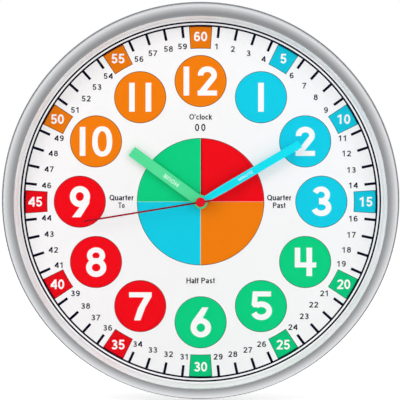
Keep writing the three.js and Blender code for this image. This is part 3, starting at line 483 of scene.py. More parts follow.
def rod(name, radius, back, front, steps=SMALL_STEPS, spot=(0, 0)):
    """A plain round bar, as a start for a union or a cut."""
    return flat(name, [circle(radius, steps, spot)], back, front)


def bevelled(obj, width, angle=50):
    """Edges sharper than an angle made round by width millimetres."""
    limit = math.radians(angle)
    return modified(obj, "BEVEL", width=width * MM, segments=2, limit_method="ANGLE", angle_limit=limit)


def smoothed(obj, angle=30):
    """Soft shading on rounded parts only: sharp edges stay, and flat faces stay flat."""
    pick(obj)
    bpy.ops.object.shade_smooth_by_angle(angle=math.radians(angle))
    return modified(obj, "WEIGHTED_NORMAL", keep_sharp=True, weight=100)


def turned_about(obj, bearing):
    """Turns a mesh that points to 12 round the axis of the hands."""
    obj.data.transform(Matrix.Rotation(math.radians(bearing), 4, "Y"))
    return obj


def moved(obj, x, z):
    """Slides a mesh to the right and up."""
    obj.data.transform(Matrix.Translation(at(x, z)))
    return obj


def copied(obj, name):
    """A copy with a mesh of its own."""
    twin = obj.copy()
    twin.data = obj.data.copy()
    twin.name = twin.data.name = name
    bpy.context.collection.objects.link(twin)
    return twin


def joined(name, pieces):
    """Several meshes as one object."""
    deselect()
    for piece in pieces:
        piece.select_set(True)
    bpy.context.view_layer.objects.active = pieces[0]
    bpy.ops.object.join()
    pieces[0].name = pieces[0].data.name = name
    return pieces[0]


def drop(*objects):
    for obj in objects:
        bpy.data.objects.remove(obj)


def united(name, pieces):
    """Overlapping meshes as one closed skin."""
    body = pieces[0]
    for other in pieces[1:]:
        modified(body, "BOOLEAN", operation="UNION", object=other, solver="EXACT")
        drop(other)
    body.name = body.data.name = name
    return body


def cut(body, *tools):
    """A body less its cutters."""
    for tool in tools:
        modified(body, "BOOLEAN", operation="DIFFERENCE", object=tool, solver="EXACT")
        drop(tool)
    return body


def from_node(node_name, name, soft=0.12, angle=35):
    """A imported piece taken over: loose triangles merged, flats made whole, edges softened."""
    piece = copied(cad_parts[node_name], name)
    edit(piece)
    bpy.ops.mesh.remove_doubles(threshold=MERGE)
    bpy.ops.mesh.dissolve_limited(angle_limit=math.radians(1))
    bpy.ops.mesh.select_all(action="SELECT")
    bpy.ops.mesh.normals_make_consistent(inside=False)
    bpy.ops.object.mode_set(mode="OBJECT")
    bevelled(piece, soft, angle)
    return smoothed(piece, 40)


def finished(obj, material, slot, *nodes, body="case"):
    """Gives a piece its finish, the body that it rides on and the nodes that it stands for."""
    obj.data.materials.clear()
    obj.data.materials.append(material)
    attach(obj, body)
    if nodes:
        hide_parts(*nodes)


# Figures and letters. A shape is a list of outlines, and a character is a list of shapes.

STROKE = 4.35
BAR = 3.9
HOUR_FIGURE_SCALE = 0.975


def hour_figures():
    """The bold figures of the hours, in millimetres round the middle of each figure."""
    s = STROKE
    figures = {
        "1": [[strip(s, -11.2, 11.2)]],
        "2": [
            [pen(arc(0.1, 4.7, 5.2, 4.5, 186, -28) + [(-4.7, -9.0), (-5.3, -9.7)], s)],
            [bar(-7.4, 7.6, -11.2, -11.2 + BAR)],
        ],
        "3": [
            [pen(arc(-0.2, 5.3, 4.9, 4.5, 158, -90) + [(-1.8, 0.8)], s - 0.3)],
            [pen([(-1.8, 0.2)] + arc(0.0, -4.4, 5.6, 4.6, 90, -163), s)],
        ],
        "4": [
            [bar(-8.0, -8.0 + s - 0.2, -4.2, 11.1)],
            [bar(-8.0, 8.5, -4.2, -4.2 + BAR)],
            [bar(1.0, 1.0 + s, -10.9, 11.1)],
        ],
        "5": [
            [bar(-6.3, 7.8, 11.4 - BAR, 11.4)],
            [[(-6.3, 11.4), (-2.3, 11.4), (-2.9, 2.4), (-1.6, -1.0), (-5.6, -0.9), (-7.2, 0.9)]],
            [pen(arc(0.3, -3.6, 6.1, 5.1, 128, -160), s)],
        ],
        "6": [
            [oval(0.2, -4.2, 7.9, 7.5), oval(0.2, -4.2, 3.3, 3.3)],
            [[(1.3, 11.5), (6.0, 11.5), (0.2, 0.6), (-5.6, -4.2), (-7.3, -1.0), (-6.0, 1.4)]],
        ],
        "7": [
            [bar(-8.6, 8.8, 6.8, 6.8 + BAR)],
            [[(3.4, 7.4), (8.8, 7.4), (3.9, -1.0), (0.1, -11.0), (-4.8, -11.0), (-1.7, -1.6)]],
        ],
        "8": [
            [oval(0.0, 5.0, 7.0, 6.3), oval(0.0, 5.0, 2.8, 2.4)],
            [oval(0.1, -4.3, 7.8, 7.3), oval(0.1, -4.3, 3.3, 3.0)],
        ],
        "9": [
            [oval(0.1, 4.0, 7.8, 8.1), oval(0.0, 4.0, 3.1, 3.4)],
            [[(-6.0, -12.0), (0.6, -12.0), (7.2, -1.4), (7.6, 2.8), (3.3, 1.0), (-0.3, -4.4)]],
        ],
        "0": [[oval(-0.3, 0, 7.75, 11.7, 64, 2.3), oval(-0.3, 0, 3.5, 7.85, 48, 2.2)]],
    }
    k = HOUR_FIGURE_SCALE
    return {
        key: [[scaled(outline, k, k) for outline in shape] for shape in shapes]
        for key, shapes in figures.items()
    }


def plain_characters(w):
    """Even-stroke figures and letters, one high, drawn with a pen w wide: name to (width, shapes)."""
    h = w / 2
    thin = w * 0.94
    last = 1 - thin
    stem = [bar(0, w, 0, 1)]

    def ring(left, right, bottom, top):
        x, z = (left + right) / 2, (bottom + top) / 2
        across, up = (right - left) / 2, (top - bottom) / 2
        return [oval(x, z, across, up, 32), oval(x, z, across - w, up - w, 32)]

    def bow(left, right, bottom, top, start, end, steps=16):
        x, z = (left + right) / 2, (bottom + top) / 2
        across, up = (right - left) / 2 - h, (top - bottom) / 2 - h
        return arc(x, z, across, up, start, end, steps)

    def upright(left, bottom, top):
        return [bar(left, left + w, bottom, top)]

    def level(left, right, bottom):
        return [bar(left, right, bottom, bottom + thin)]

    def stroke(*points):
        return [pen(list(points), w)]

    def glyph(width, *shapes):
        return width, shapes

    x = 0.73
    beam = 0.22 + h
    slope = [(0, beam), (0, beam + w * 0.8), (0.43, 1), (0.43 + h, 1)]
    slope += [(0.43 + h, 1 - 1.5 * w), (w * 1.2, beam)]
    flag = [(0.24 + h, 1), (0.02, 0.83), (0.02, 0.83 - w), (0.24 + h, 0.8)]
    return {
        "0": glyph(0.64, ring(0, 0.64, 0, 1)),
        "1": glyph(0.6, upright(0.24, 0, 1), [flag]),
        "2": glyph(0.64, stroke(*bow(0, 0.64, 0.42, 1, 172, -35), (0.34, 0.33), (h, h)), level(0, 0.64, 0)),
        "3": glyph(
            0.64,
            stroke(*bow(0.02, 0.6, 0.47, 1, 158, -90), (0.24, 0.47 + h)),
            stroke((0.24, 0.57 - h), *bow(0, 0.64, 0, 0.57, 90, -160)),
        ),
        "4": glyph(0.68, upright(0.43, 0, 1), level(0, 0.68, 0.22), [slope]),
        "5": glyph(
            0.64,
            level(0.1, 0.6, last),
            stroke((0.1 + h, 1 - h), (0.04 + h, 0.46)),
            stroke((0.02 + h, 0.5), *bow(0, 0.64, 0, 0.66, 125, -160)),
        ),
        "6": glyph(0.64, ring(0, 0.64, 0, 0.64), stroke(*bow(0, 0.68, 0, 1, 188, 45))),
        "7": glyph(
            0.62,
            level(0, 0.62, last),
            stroke((0.62 - h * 1.05, 1 - w * 0.6), (0.38, 0.55), (0.25, 0.25), (0.21, 0)),
        ),
        "8": glyph(0.64, ring(0.03, 0.61, 0.47, 1), ring(0, 0.64, 0, 0.47 + w)),
        "9": glyph(0.64, ring(0, 0.64, 0.36, 1), stroke(*bow(-0.04, 0.64, 0, 1, 8, -135))),
        "O": glyph(0.76, ring(0, 0.76, 0, 1)),
        "Q": glyph(0.76, ring(0, 0.76, 0, 1), stroke((0.44, 0.27), (0.74, -0.03))),
        "H": glyph(0.68, stem, upright(0.68 - w, 0, 1), level(0, 0.68, 0.47)),
        "U": glyph(0.66, stroke((h, 1), *bow(0, 0.66, 0, 0.6, 180, 360), (0.66 - h, 1))),
        "R": glyph(
            0.64,
            stem,
            stroke((h, 1 - h), (0.3, 1 - h), *bow(0, 0.62, 0.45, 1, 90, -90), (h, 0.45 + h)),
            stroke((0.34, 0.5), (0.58, 0)),
        ),
        "M": glyph(
            0.8,
            stem,
            upright(0.8 - w, 0, 1),
            stroke((h, 0.97), (0.4, 0.1)),
            stroke((0.8 - h, 0.97), (0.4, 0.1)),
        ),
        "I": glyph(w, stem),
        "N": glyph(0.68, stem, upright(0.68 - w, 0, 1), stroke((h, 0.97), (0.68 - h, 0.03))),
        "E": glyph(0.58, stem, level(0, 0.58, 0), level(0, 0.54, 0.47), level(0, 0.58, last)),
        "P": glyph(
            0.62,
            stem,
            stroke((h, 1 - h), (0.3, 1 - h), *bow(0, 0.62, 0.42, 1, 90, -90), (h, 0.42 + h)),
        ),
        "T": glyph(0.62, level(0, 0.62, last), upright(0.31 - h, 0, 1)),
        "u": glyph(0.5, stroke((h, x), *bow(0, 0.5, 0, 0.5, 180, 330)), upright(0.5 - w, 0, x)),
        "a": glyph(0.52, stroke(*bow(0.02, 0.5, 0.3, x, 160, 0), (0.5 - h, 0)), ring(0, 0.5, 0, 0.44)),
        "r": glyph(0.3, upright(0, 0, x), stroke(*bow(0, 0.5, 0.1, x, 160, 80))),
        "t": glyph(
            0.3,
            stroke((0.08 + h, 0.93), (0.08 + h, 0.2), *bow(0.08, 0.4, 0, 0.4, 200, 280)),
            level(0, 0.3, x - w),
        ),
        "e": glyph(0.52, stroke(*bow(0, 0.52, 0, x, 0, 318, 24)), level(h, 0.52 - h, 0.33)),
        "s": glyph(0.46, stroke(*bow(0.02, 0.44, 0.33, x, 25, 270, 14), *bow(0, 0.46, 0, 0.4, 80, -155, 14))),
        "o": glyph(0.54, ring(0, 0.54, 0, x)),
        "c": glyph(0.5, stroke(*bow(0, 0.52, 0, x, 42, 318, 22))),
        "l": glyph(w, stem),
        "k": glyph(0.46, stem, stroke((0.42, x), (h, 0.28)), stroke((0.18, 0.42), (0.44, 0))),
        "f": glyph(0.3, stroke(*bow(0.08, 0.5, 0.6, 1, 80, 180), (0.08 + h, 0)), level(0, 0.3, x - w)),
        "'": glyph(w, [bar(0, w * 0.9, 0.68, 1)]),
    }


def character(shapes, back):
    """A figure or letter as one closed mesh, as thick as a layer of ink."""
    return united("character", [flat("shape", shape, back, back + INK) for shape in shapes])


class Type:
    """One size and weight of the plain characters, each cut once and then copied."""

    def __init__(self, height, weight, back, gap=0.15, stretch=1.0):
        self.height = height
        self.across = height * stretch
        self.shapes = plain_characters(weight)
        self.gap = gap
        self.back = back
        self.cut = {}

    def letter(self, key):
        if key not in self.cut:
            width, shapes = self.shapes[key]
            sized = [[scaled(loop, self.across, self.height) for loop in shape] for shape in shapes]
            self.cut[key] = character(sized, self.back)
        return copied(self.cut[key], "letter")

    def set(self, name, words, x, z, width=None):
        """Words round a middle; where a width is given, they are fitted to it."""
        space = 0.3
        widths = [space if c == " " else self.shapes[c][0] for c in words]
        total = (sum(widths) + self.gap * (len(words) - 1)) * self.across
        start, letters = -total / 2, []
        for key, own in zip(words, widths):
            if key != " ":
                letters.append(moved(self.letter(key), start, -self.height / 2))
            start += (own + self.gap) * self.across
        line = joined(name, letters)
        if width:
            line.data.transform(Matrix.Diagonal((width / total, 1, 1, 1)))
        return moved(line, x, z)

    def clear(self):
        """Removes the letters that were only cut to be copied."""
        drop(*self.cut.values())


# Camera, lights and floor, whose distances are in metres

PHOTO_SIZE = 400
MM_PER_PIXEL = 0.7535
SENSOR = 36.0
CAMERA_DISTANCE = 10.0
CAMERA_ELEVATION = math.radians(3.0)
DIAL_CENTRE_PIXEL = (200.6, 201.7)
DAYLIGHT = 0.6
# Light of the room that shiny pieces see, and its change along the view and upwards
ROOM, ROOM_INTO, ROOM_UP = 0.62, 0.27, -0.13
FLOOR_RADIUS, FLOOR_GAP, FLOOR_WHITE, FLOOR_GLOW = 3.0, 0.0002, 0.9, 0.45
# Place, size and power of each soft box
LAMPS = {
    "left": ((-1.3, -1.6, 1.3), (1.0, 1.4), 14.5),
    "right": ((1.5, -1.5, 0.9), (1.0, 1.4), 8.0),
    "top": ((0.0, -0.5, 2.0), (1.6, 1.0), 8.0),
    "front": ((0.2, -2.4, -0.05), (1.2, 1.2), 9.0),
}


def add_camera():
    """A long lens nearly square on, with the middle of the dial where the photograph has it."""
    bpy.ops.object.camera_add()
    camera = bpy.context.object
    right = (PHOTO_SIZE / 2 - DIAL_CENTRE_PIXEL[0]) * MM_PER_PIXEL
    up = (DIAL_CENTRE_PIXEL[1] - PHOTO_SIZE / 2) * MM_PER_PIXEL
    back = Vector((0, -math.cos(CAMERA_ELEVATION), math.sin(CAMERA_ELEVATION)))
    camera.location = at(right, up, DIAL_FRONT) + back * CAMERA_DISTANCE
    camera.rotation_euler = (math.pi / 2 - CAMERA_ELEVATION, 0, 0)
    camera.data.sensor_width = SENSOR
    camera.data.lens = SENSOR * CAMERA_DISTANCE / (PHOTO_SIZE * MM_PER_PIXEL * MM)
    camera.data.clip_end = 4 * CAMERA_DISTANCE
    bpy.context.scene.camera = camera


def add_lamp(name, place, size, power):
    """A soft box that faces the clock and leaves no patch of its own on shiny pieces."""
    bpy.ops.object.light_add(type="AREA", location=place)
    lamp = bpy.context.object
    lamp.name = name
    lamp.data.shape = "RECTANGLE"
    lamp.data.size, lamp.data.size_y = size
    lamp.data.energy = power
    lamp.rotation_euler = (-Vector(place)).to_track_quat("-Z", "Y").to_euler()
    lamp.visible_glossy = False


def ray(graph, kind):
    return graph.node("ShaderNodeLightPath", output=f"Is {kind} Ray")


def add_world():
    """White for the camera, darker behind it for what reflects, and a plain level of light."""
    world = bpy.data.worlds.new("studio")
    bpy.context.scene.world = world
    world.use_nodes = True
    graph = Graph(world.node_tree)
    _, into, up = graph.parts(graph.node("ShaderNodeTexCoord", output="Generated"))
    room = into * ROOM_INTO + up * ROOM_UP + ROOM
    ambient = graph.node("ShaderNodeMix", {0: ray(graph, "Glossy"), 2: DAYLIGHT, 3: room})
    seen = graph.combined("MAXIMUM", ray(graph, "Camera"), ray(graph, "Transmission"))
    strength = graph.node("ShaderNodeMix", {0: seen, 2: ambient, 3: 1.0})
    background = graph.tree.nodes["Background"]
    background.inputs["Color"].default_value = (1, 1, 1, 1)
    graph.feed(background.inputs["Strength"], strength)


def add_floor():
    """A white floor that keeps the soft shadow, and that shiny pieces see the room through."""
    place = (0, 0, -FLANGE * MM - FLOOR_GAP)
    bpy.ops.mesh.primitive_circle_add(vertices=64, radius=FLOOR_RADIUS, fill_type="NGON", location=place)
    floor = bpy.context.object
    floor.name = floor.data.name = "floor"
    finish = Finish("floor_white", (FLOOR_WHITE,) * 3, 0.6)
    finish.vary("Roughness", finish.noise(30, 2) * 0.1 + 0.55)
    light = {"Color": (1, 1, 1, 1), "Strength": ray(finish, "Camera") * FLOOR_GLOW}
    glow = finish.node("ShaderNodeEmission", light)
    lit = finish.node("ShaderNodeAddShader", {0: Value(finish, finish.shader.outputs[0]), 1: glow})
    room = finish.node("ShaderNodeBsdfTransparent")
    mixed = {0: ray(finish, "Glossy"), 1: lit, 2: room}
    finish.surface(finish.node("ShaderNodeMixShader", mixed))
    floor.data.materials.append(finish.material)


bpy.context.scene.view_settings.view_transform = "Standard"
add_camera()
add_world()
add_floor()
for side, lamp in LAMPS.items():
    add_lamp(f"soft_box_{side}", *lamp)

white_plastic = moulded("white_plastic", (252, 253, 255), 0.6, 0.3, 0.004, 0.01, 0.05)
grey_plastic = moulded("grey_plastic", (138, 140, 144), 0.5)
black_plastic = moulded("black_plastic", (34, 34, 36), 0.45)
natural_plastic = moulded("natural_plastic", (232, 229, 216), 0.4, 0.2, 0.003, 0.03)
rubber_black = moulded("rubber_black", (30, 30, 31), 0.8, 0.5, 0.02)
resin_black = moulded("resin_black", (20, 20, 21), 0.35, 1.5, 0.02)
board_green = moulded("board_green", (30, 104, 58), 0.45, 0.4, 0.005, 0.08)
magnet_grey = metallic("magnet_grey", (76, 76, 80), 0.5, metal=0.5)
zinc = metallic("zinc", (200, 203, 207), 0.32)
steel_sheet = metallic("steel_sheet", (176, 178, 182), 0.38, (1, 1, 8))
steel_turned = metallic("steel_turned", (190, 192, 196), 0.28, (1, 12, 1))
brass_plain = metallic("brass", (212, 176, 98), 0.3)
copper_wire = metallic("copper_wire", (188, 104, 56), 0.32, (12, 1, 1), 0.3, 0.02)
cell_sleeve = two_tone("cell_sleeve", (44, 62, 96), (196, 132, 84), FILM_END)

INK_COLOURS = {
    "orange": (244, 126, 4),
    "cyan": (14, 206, 232),
    "green": (4, 208, 131),
    "red": (243, 3, 20),
}
EDGE_SHARE, BLOCK_SHARE = 0.55, 0.96


def ink_set(ending, share=1.0):
    """One ink of each colour, darker where the share of its brightness is under one."""
    return {name: printed(name + ending, [share * c for c in rgb]) for name, rgb in INK_COLOURS.items()}


inks = ink_set("_ink")
dark_inks = ink_set("_dark_ink", EDGE_SHARE)
block_inks = ink_set("_block_ink", BLOCK_SHARE)
navy_ink = printed("navy_ink", (4, 4, 34))
white_ink = printed("white_ink", (252, 252, 252))
green_paint = painted("green_paint", (84, 225, 155))
cyan_paint = painted("cyan_paint", (8, 226, 242))
maroon_paint = painted("maroon_paint", (160, 6, 34))
red_paint = painted("red_paint", (228, 8, 30))


# Case


def crosshead(head, thick, length, back):
    """Screw with a domed head, a cross in it and a rolled thread."""
    front, dome = back + thick, 0.7 * thick
    pitch, root, lead, tip = 0.9, 0.78 * SHANK, 0.3, 1.4
    section = arc(0, back + dome, head, dome, -90, 0, 8)
    section += [(head, front - 0.1), (head - 0.1, front), (SHANK, front)]
    for i in range(int((length - tip - 0.4) / pitch)):
        start = front + lead + pitch * i
        section += [(root, start), (SHANK, start + 0.35), (root, start + 0.7)]
    section += [(SHANK * 0.7, front + length - tip), (0, front + length)]
    body = turned("crosshead", section, 40)
    arm, gap = head * 0.58, 0.25
    for outline in (bar(-arm, arm, -gap, gap), bar(-gap, gap, -arm, arm)):
        body = cut(body, flat("cross", [outline], back - OVERRUN, back + thick * 0.62))
    return smoothed(body)


def case_ring():
    """Domed ring, hollow from behind, with a rounded lip at its opening."""
    section = [(SKIRT - 0.3, FLANGE_FRONT), (SKIRT, FLANGE_FRONT + 0.3)]
    section += arc(CREST_RADIUS, SHOULDER, DOME_WIDTH, CREST - SHOULDER, 0, 90, 28)
    section += arc(OPENING + LIP, CREST - LIP_DROP - LIP, LIP, LIP, 90, 180, 8)
    section += [(OPENING, LENS_FRONT), (REGISTER, LENS_FRONT), (REGISTER, REGISTER_BACK)]
    section.append((REGISTER_OUTER, REGISTER_BACK))
    start = math.degrees(math.acos((REGISTER_OUTER - CAVITY_MIDDLE) / CAVITY_WIDTH))
    section += arc(CAVITY_MIDDLE, SHOULDER, CAVITY_WIDTH, CAVITY_HEIGHT, start, 0, 8)
    section.append((SKIRT - 2, FLANGE_FRONT))
    pieces = [turned("case_ring", section)]
    pieces += [rod("boss", BOSS, FLANGE_FRONT, BOSS_FRONT, 32, spot) for spot in CASE_SCREWS]
    pilots = [rod("pilot", PILOT, FLANGE_FRONT - OVERRUN, PILOT_FRONT, 24, spot) for spot in CASE_SCREWS]
    return smoothed(cut(united("case_ring", pieces), *pilots))


def rear_case():
    """Dish with a flange, twelve ribs, a collar for the movement and two posts for the hanger."""
    section = [(NECK_HOLE, FLOOR_BACK), (WELL - 1.5, FLOOR_BACK), (WELL - 0.4, FLOOR_BACK - 0.4)]
    section += [(WELL, FLOOR_BACK - 1.5), (WELL, 0.5), (WELL + 0.5, 0), (FLANGE - 0.6, 0)]
    section += [(FLANGE - 0.2, 0.2), (FLANGE, 0.6), (FLANGE, FLANGE_FRONT - 0.4)]
    section += [(FLANGE - 0.4, FLANGE_FRONT), (WALL, FLANGE_FRONT), (WALL, FLOOR_FRONT - 0.5)]
    section += [(WALL - 0.5, FLOOR_FRONT), (NECK_HOLE, FLOOR_FRONT)]
    pieces = [turned("rear_case", section)]
    foot = FLOOR_BACK + OVERLAP
    inner = COLLAR_WIDTH - 2 * COLLAR_WALL
    loops = [rounded(COLLAR_WIDTH, COLLAR_WIDTH, COLLAR_CORNER)]
    loops.append(rounded(inner, inner, COLLAR_CORNER - COLLAR_WALL))
    pieces.append(bevelled(flat("collar", loops, COLLAR_BACK, foot), 0.35))
    rib = bevelled(flat("rib", [strip(RIB_WIDTH, RIB_START, WELL + 0.9)], RIB_BACK, foot), 0.35)
    pieces += [turned_about(copied(rib, f"rib_{i}"), 30 * i + 15) for i in range(12)]
    drop(rib)
    post = [(0, HANGER_FRONT), (POST - 0.3, HANGER_FRONT), (POST, HANGER_FRONT + 0.3)]
    post += [(POST, foot - 1), (POST + 0.8, foot), (0, foot)]
    pieces += [turned("post", post, 48, spot) for spot in HANGER_SCREWS]
    body = united("rear_case", pieces)
    for spot in HANGER_SCREWS:
        body = cut(body, rod("pilot", PILOT, HANGER_BACK, POST_PILOT_FRONT, 24, spot))
    for spot in CASE_SCREWS:
        way = rod("way", WAY, -OVERRUN, FLANGE_FRONT + OVERRUN, 24, spot)
        body = cut(body, way, rod("seat", SEAT, -OVERRUN, CASE_HEAD, 32, spot))
    return smoothed(body)


def dial_board():
    section = [(NECK_HOLE, FLOOR_FRONT), (NESTED, FLOOR_FRONT)]
    section += [(NESTED, DIAL_FRONT), (NECK_HOLE, DIAL_FRONT)]
    return turned("dial_board", section)


def window_spacer():
    """White ring that keeps the window off the dial, with a sloped face."""
    section = [(SPACER_INNER, DIAL_FRONT), (NESTED, DIAL_FRONT), (NESTED, LENS_BACK)]
    section += [(SPACER_TOP, LENS_BACK), (SPACER_TOP - 0.2, LENS_BACK - 0.2)]
    section.append((SPACER_INNER, DIAL_FRONT + 0.5))
    return turned("window_spacer", section)


def hanger():
    """Steel plate with a keyhole, tumbled so that its edges are soft."""
    outline = [(x, z + HANGER_MIDDLE) for x, z in rounded(HANGER_WIDTH, HANGER_HEIGHT, HANGER_CORNER)]
    sheet = bevelled(flat("hanger_sheet", [outline], HANGER_BACK, HANGER_FRONT), 0.25)
    low, back, front = NAIL_HEIGHT - KEYHOLE_DROP, HANGER_BACK - OVERRUN, HANGER_FRONT + OVERRUN
    entry = rod("entry", KEYHOLE, back, front, 48, (0, low))
    crown = arc(0, NAIL_HEIGHT - NAIL_SLOT, NAIL_SLOT, NAIL_SLOT, 0, 180)
    slot = flat("slot", [[(-NAIL_SLOT, low), (NAIL_SLOT, low)] + crown], back, front)
    ways = [rod("way", WAY, back, front, 24, spot) for spot in HANGER_SCREWS]
    return smoothed(cut(sheet, united("keyhole", [entry, slot]), *ways))


def plain_ring(name, inner, outer, back, front, edge, steps=96):
    """A ring with chamfered outer edges, such as a washer."""
    section = [(inner, back), (outer - edge, back), (outer, back + edge)]
    section += [(outer, front - edge), (outer - edge, front), (inner, front)]
    return turned(name, section, steps)


finished(case_ring(), silver_paint(), "silver_ring", "bezel")
finished(rear_case(), grey_plastic, "housing_plastic", "rear_housing")
window = plain_ring("window", 0, NESTED, LENS_BACK, LENS_FRONT, 0.25, ROUND_STEPS)
finished(window, clear_acrylic(), "lens_clear", "lens")
finished(window_spacer(), white_plastic, "spacer_white", "lens_spacer_ring")
finished(dial_board(), dial_sheet(), "dial_print", "dial")
finished(hanger(), zinc, "zinc_steel", "hanger_plate")
for kind, spots, start in (
    ("hanger", HANGER_SCREWS, crosshead(2.8, HANGER_HEAD, 8, HANGER_BACK - HANGER_HEAD)),
    ("case", CASE_SCREWS, crosshead(2.2, CASE_HEAD, 10, 0)),
):
    for number, spot in enumerate(spots, 1):
        screw = moved(copied(start, f"{kind}_fixing_{number}"), *spot)
        finished(screw, zinc, "zinc_steel", f"{kind}_screw_{number}")
    drop(start)

seal = plain_ring("seal", CLAMP_BORE, SEAL_RADIUS, MOVEMENT_FRONT, FLOOR_BACK, 0.15)
finished(seal, rubber_black, "rubber", "rubber_washer")
thin_washer = plain_ring("thin_washer", CLAMP_BORE, CLAMP_RADIUS, DIAL_FRONT, WASHER_FRONT, 0.06)
finished(thin_washer, brass_plain, "brass", "mounting_washer")
ring_nut = plain_ring("ring_nut", CLAMP_BORE, CLAMP_RADIUS, WASHER_FRONT, NUT_FRONT, 0.25)
reach = CLAMP_RADIUS + OVERRUN
driver_slot = flat("driver_slot", [bar(-reach, reach, -0.6, 0.6)], NUT_FRONT - 0.8, NUT_FRONT + OVERRUN)
finished(smoothed(cut(ring_nut, driver_slot)), brass_plain, "brass", "mounting_nut")


# Print on the dial

# Three hours in a row have one ink
HOUR_INKS = {i + 1: ("cyan", "green", "red", "orange")[i // 3] for i in range(12)}
FIGURE_PLACES = {
    10: (("1", -10.1), ("0", 5.0)),
    11: (("1", -6.25), ("1", 6.2)),
    12: (("1", -10.7), ("2", 5.0)),
}
# Small figures that the photograph shows off their even circle, given to half a millimetre
NUDGES = {
    11: (0.5, 0), 12: (-1, 0), 13: (-0.5, -0.5), 14: (-1, 0), 16: (-1, -0.5), 17: (-0.5, -0.5),
    18: (-1, 0), 19: (-0.5, 1), 21: (-1, 0), 22: (-1.5, 1), 23: (0, 1), 24: (1, 0.5), 26: (-1.5, 0),
    27: (-0.5, 0), 29: (1, 0), 36: (-1.5, 0), 37: (-1, 0), 52: (0.5, -1), 53: (0, -1), 54: (-1, -0.5),
    56: (1, 0), 59: (-1.5, 0),
}


def ground(name, *loops):
    """A flat print on the sheet itself."""
    return flat(name, loops, DIAL_FRONT, GROUND_FRONT)


def inked(piece, ink):
    finished(piece, ink, "dial_print")


def print_rings():
    for name, middle, width in (
        ("outer_line", OUTER_LINE, OUTER_LINE_WIDTH),
        ("inner_line", INNER_LINE, INNER_LINE_WIDTH),
    ):
        inked(ground(name, circle(middle + width / 2, 256), circle(middle - width / 2, 256)), navy_ink)


def print_quarters():
    """Four quarters with a hairline of white between them, a darker rim, and a painted shadow beside one
    seam: a dark strip on the red quarter.
    """
    limit, half = CENTRE_DISC - EDGE_LINE, SEAM / 2
    for i, ink in enumerate(("red", "orange", "cyan", "green")):
        for name, inner, outer, material in (
            ("quarter", CENTRE_HOLE, limit, inks[ink]),
            ("quarter_edge", limit, CENTRE_DISC, dark_inks[ink]),
        ):
            far, near = math.degrees(half / outer), math.degrees(half / inner)
            corners = [around(outer, bearing) for bearing in spread(far, 90 - far, 32)]
            corners += [around(inner, bearing) for bearing in spread(90 - near, near, 32)]
            inked(turned_about(ground(f"{name}_{ink}", corners), 90 * i), material)
    # Painted shadow: a strip of the darker red ink on the red quarter, along the right of the top seam
    side = bar(half, half + SEAM_SHADOW_WIDTH, CENTRE_HOLE, limit)
    inked(flat("painted_seam_shadow_red", [side], GROUND_FRONT, FIGURE_FRONT), dark_inks["red"])


def print_hours():
    disc = ground("disc", circle(HOUR_DISC - EDGE_LINE))
    edge = ground("edge", circle(HOUR_DISC), circle(HOUR_DISC - EDGE_LINE))
    shapes = hour_figures()
    figures = {key: character(shapes[key], GROUND_FRONT) for key in shapes}
    for hour, ink in HOUR_INKS.items():
        spot = around(HOUR_CIRCLE, 30 * hour)
        inked(moved(copied(disc, f"hour_disc_{hour}"), *spot), inks[ink])
        inked(moved(copied(edge, f"hour_edge_{hour}"), *spot), dark_inks[ink])
        for i, (key, aside) in enumerate(FIGURE_PLACES.get(hour, ((str(hour), 0.0),))):
            figure = copied(figures[key], f"hour_figure_{hour}_{i}")
            inked(moved(figure, spot[0] + aside, spot[1]), white_ink)
    drop(disc, edge, *figures.values())


def print_minutes():
    """Blocks at the fives, and between them ticks and small figures."""
    small = Type(MINUTE_FIGURE_HEIGHT, FIGURE_PEN, DIAL_FRONT, 0.18, 1.08)
    bold = Type(BLOCK_FIGURE_HEIGHT, FIGURE_PEN, GROUND_FRONT, 0.09)
    tick = ground("tick", strip(TICK_WIDTH, TICK_INNER, INNER_LINE))
    outside = sector(BLOCK_INNER, BLOCK_OUTER, -BLOCK_HALF_ANGLE, BLOCK_HALF_ANGLE, 6)
    turn = BLOCK_HALF_ANGLE - math.degrees(EDGE_LINE / BLOCK_OUTER)
    inside = sector(BLOCK_INNER + EDGE_LINE, BLOCK_OUTER - EDGE_LINE, -turn, turn, 6)
    block = ground("block", inside)
    edge = ground("block_edge", outside, inside)
    ticks, figures = [], []
    for minute in range(1, 61):
        bearing = 6 * minute
        if minute % 5:
            ticks.append(turned_about(copied(tick, f"tick_{minute}"), bearing))
            right, up = NUDGES.get(minute, (0, 0))
            x, z = around(1, bearing)
            spot = MINUTE_ACROSS * x + right, MINUTE_UP * z + up
            figures.append(small.set(f"minute_{minute}", str(minute), *spot))
        else:
            ink = HOUR_INKS[minute // 5]
            inked(turned_about(copied(block, f"block_{minute}"), bearing), block_inks[ink])
            inked(turned_about(copied(edge, f"block_edge_{minute}"), bearing), dark_inks[ink])
            spot = around(BLOCK_FIGURE_CIRCLE, bearing)
            inked(bold.set(f"block_figure_{minute}", str(minute), *spot), white_ink)
    inked(joined("minute_ticks", ticks), navy_ink)
    inked(joined("minute_figures", figures), navy_ink)
    small.clear()
    bold.clear()
    drop(tick, block, edge)


def print_words():
    """The words that tell how to read the quarters: name, words, width, middle."""
    plain = Type(WORD_HEIGHT, WORD_PEN, DIAL_FRONT, 0.07)
    for name, words, width, x, z in (
        ("word_oclock", "O'clock", 17.0, 0.0, 64.0),
        ("word_past_quarter", "Quarter", 18.2, 59.2, 3.1),
        ("word_past", "Past", 9.4, 59.2, -2.7),
        ("word_to_quarter", "Quarter", 18.2, -59.6, 3.1),
        ("word_to", "To", 4.8, -59.6, -2.7),
        ("word_half_past", "Half Past", 21.4, 0.0, -59.5),
    ):
        inked(plain.set(name, words, x, z, width), navy_ink)
    plain.clear()
    tall = Type(ZERO_HEIGHT, FIGURE_PEN, DIAL_FRONT, 0.3)
    inked(tall.set("word_00", "00", -0.3, 56.0, 7.9), navy_ink)
    tall.clear()


print_rings()
print_quarters()
print_hours()
print_minutes()
print_words()


# Hands


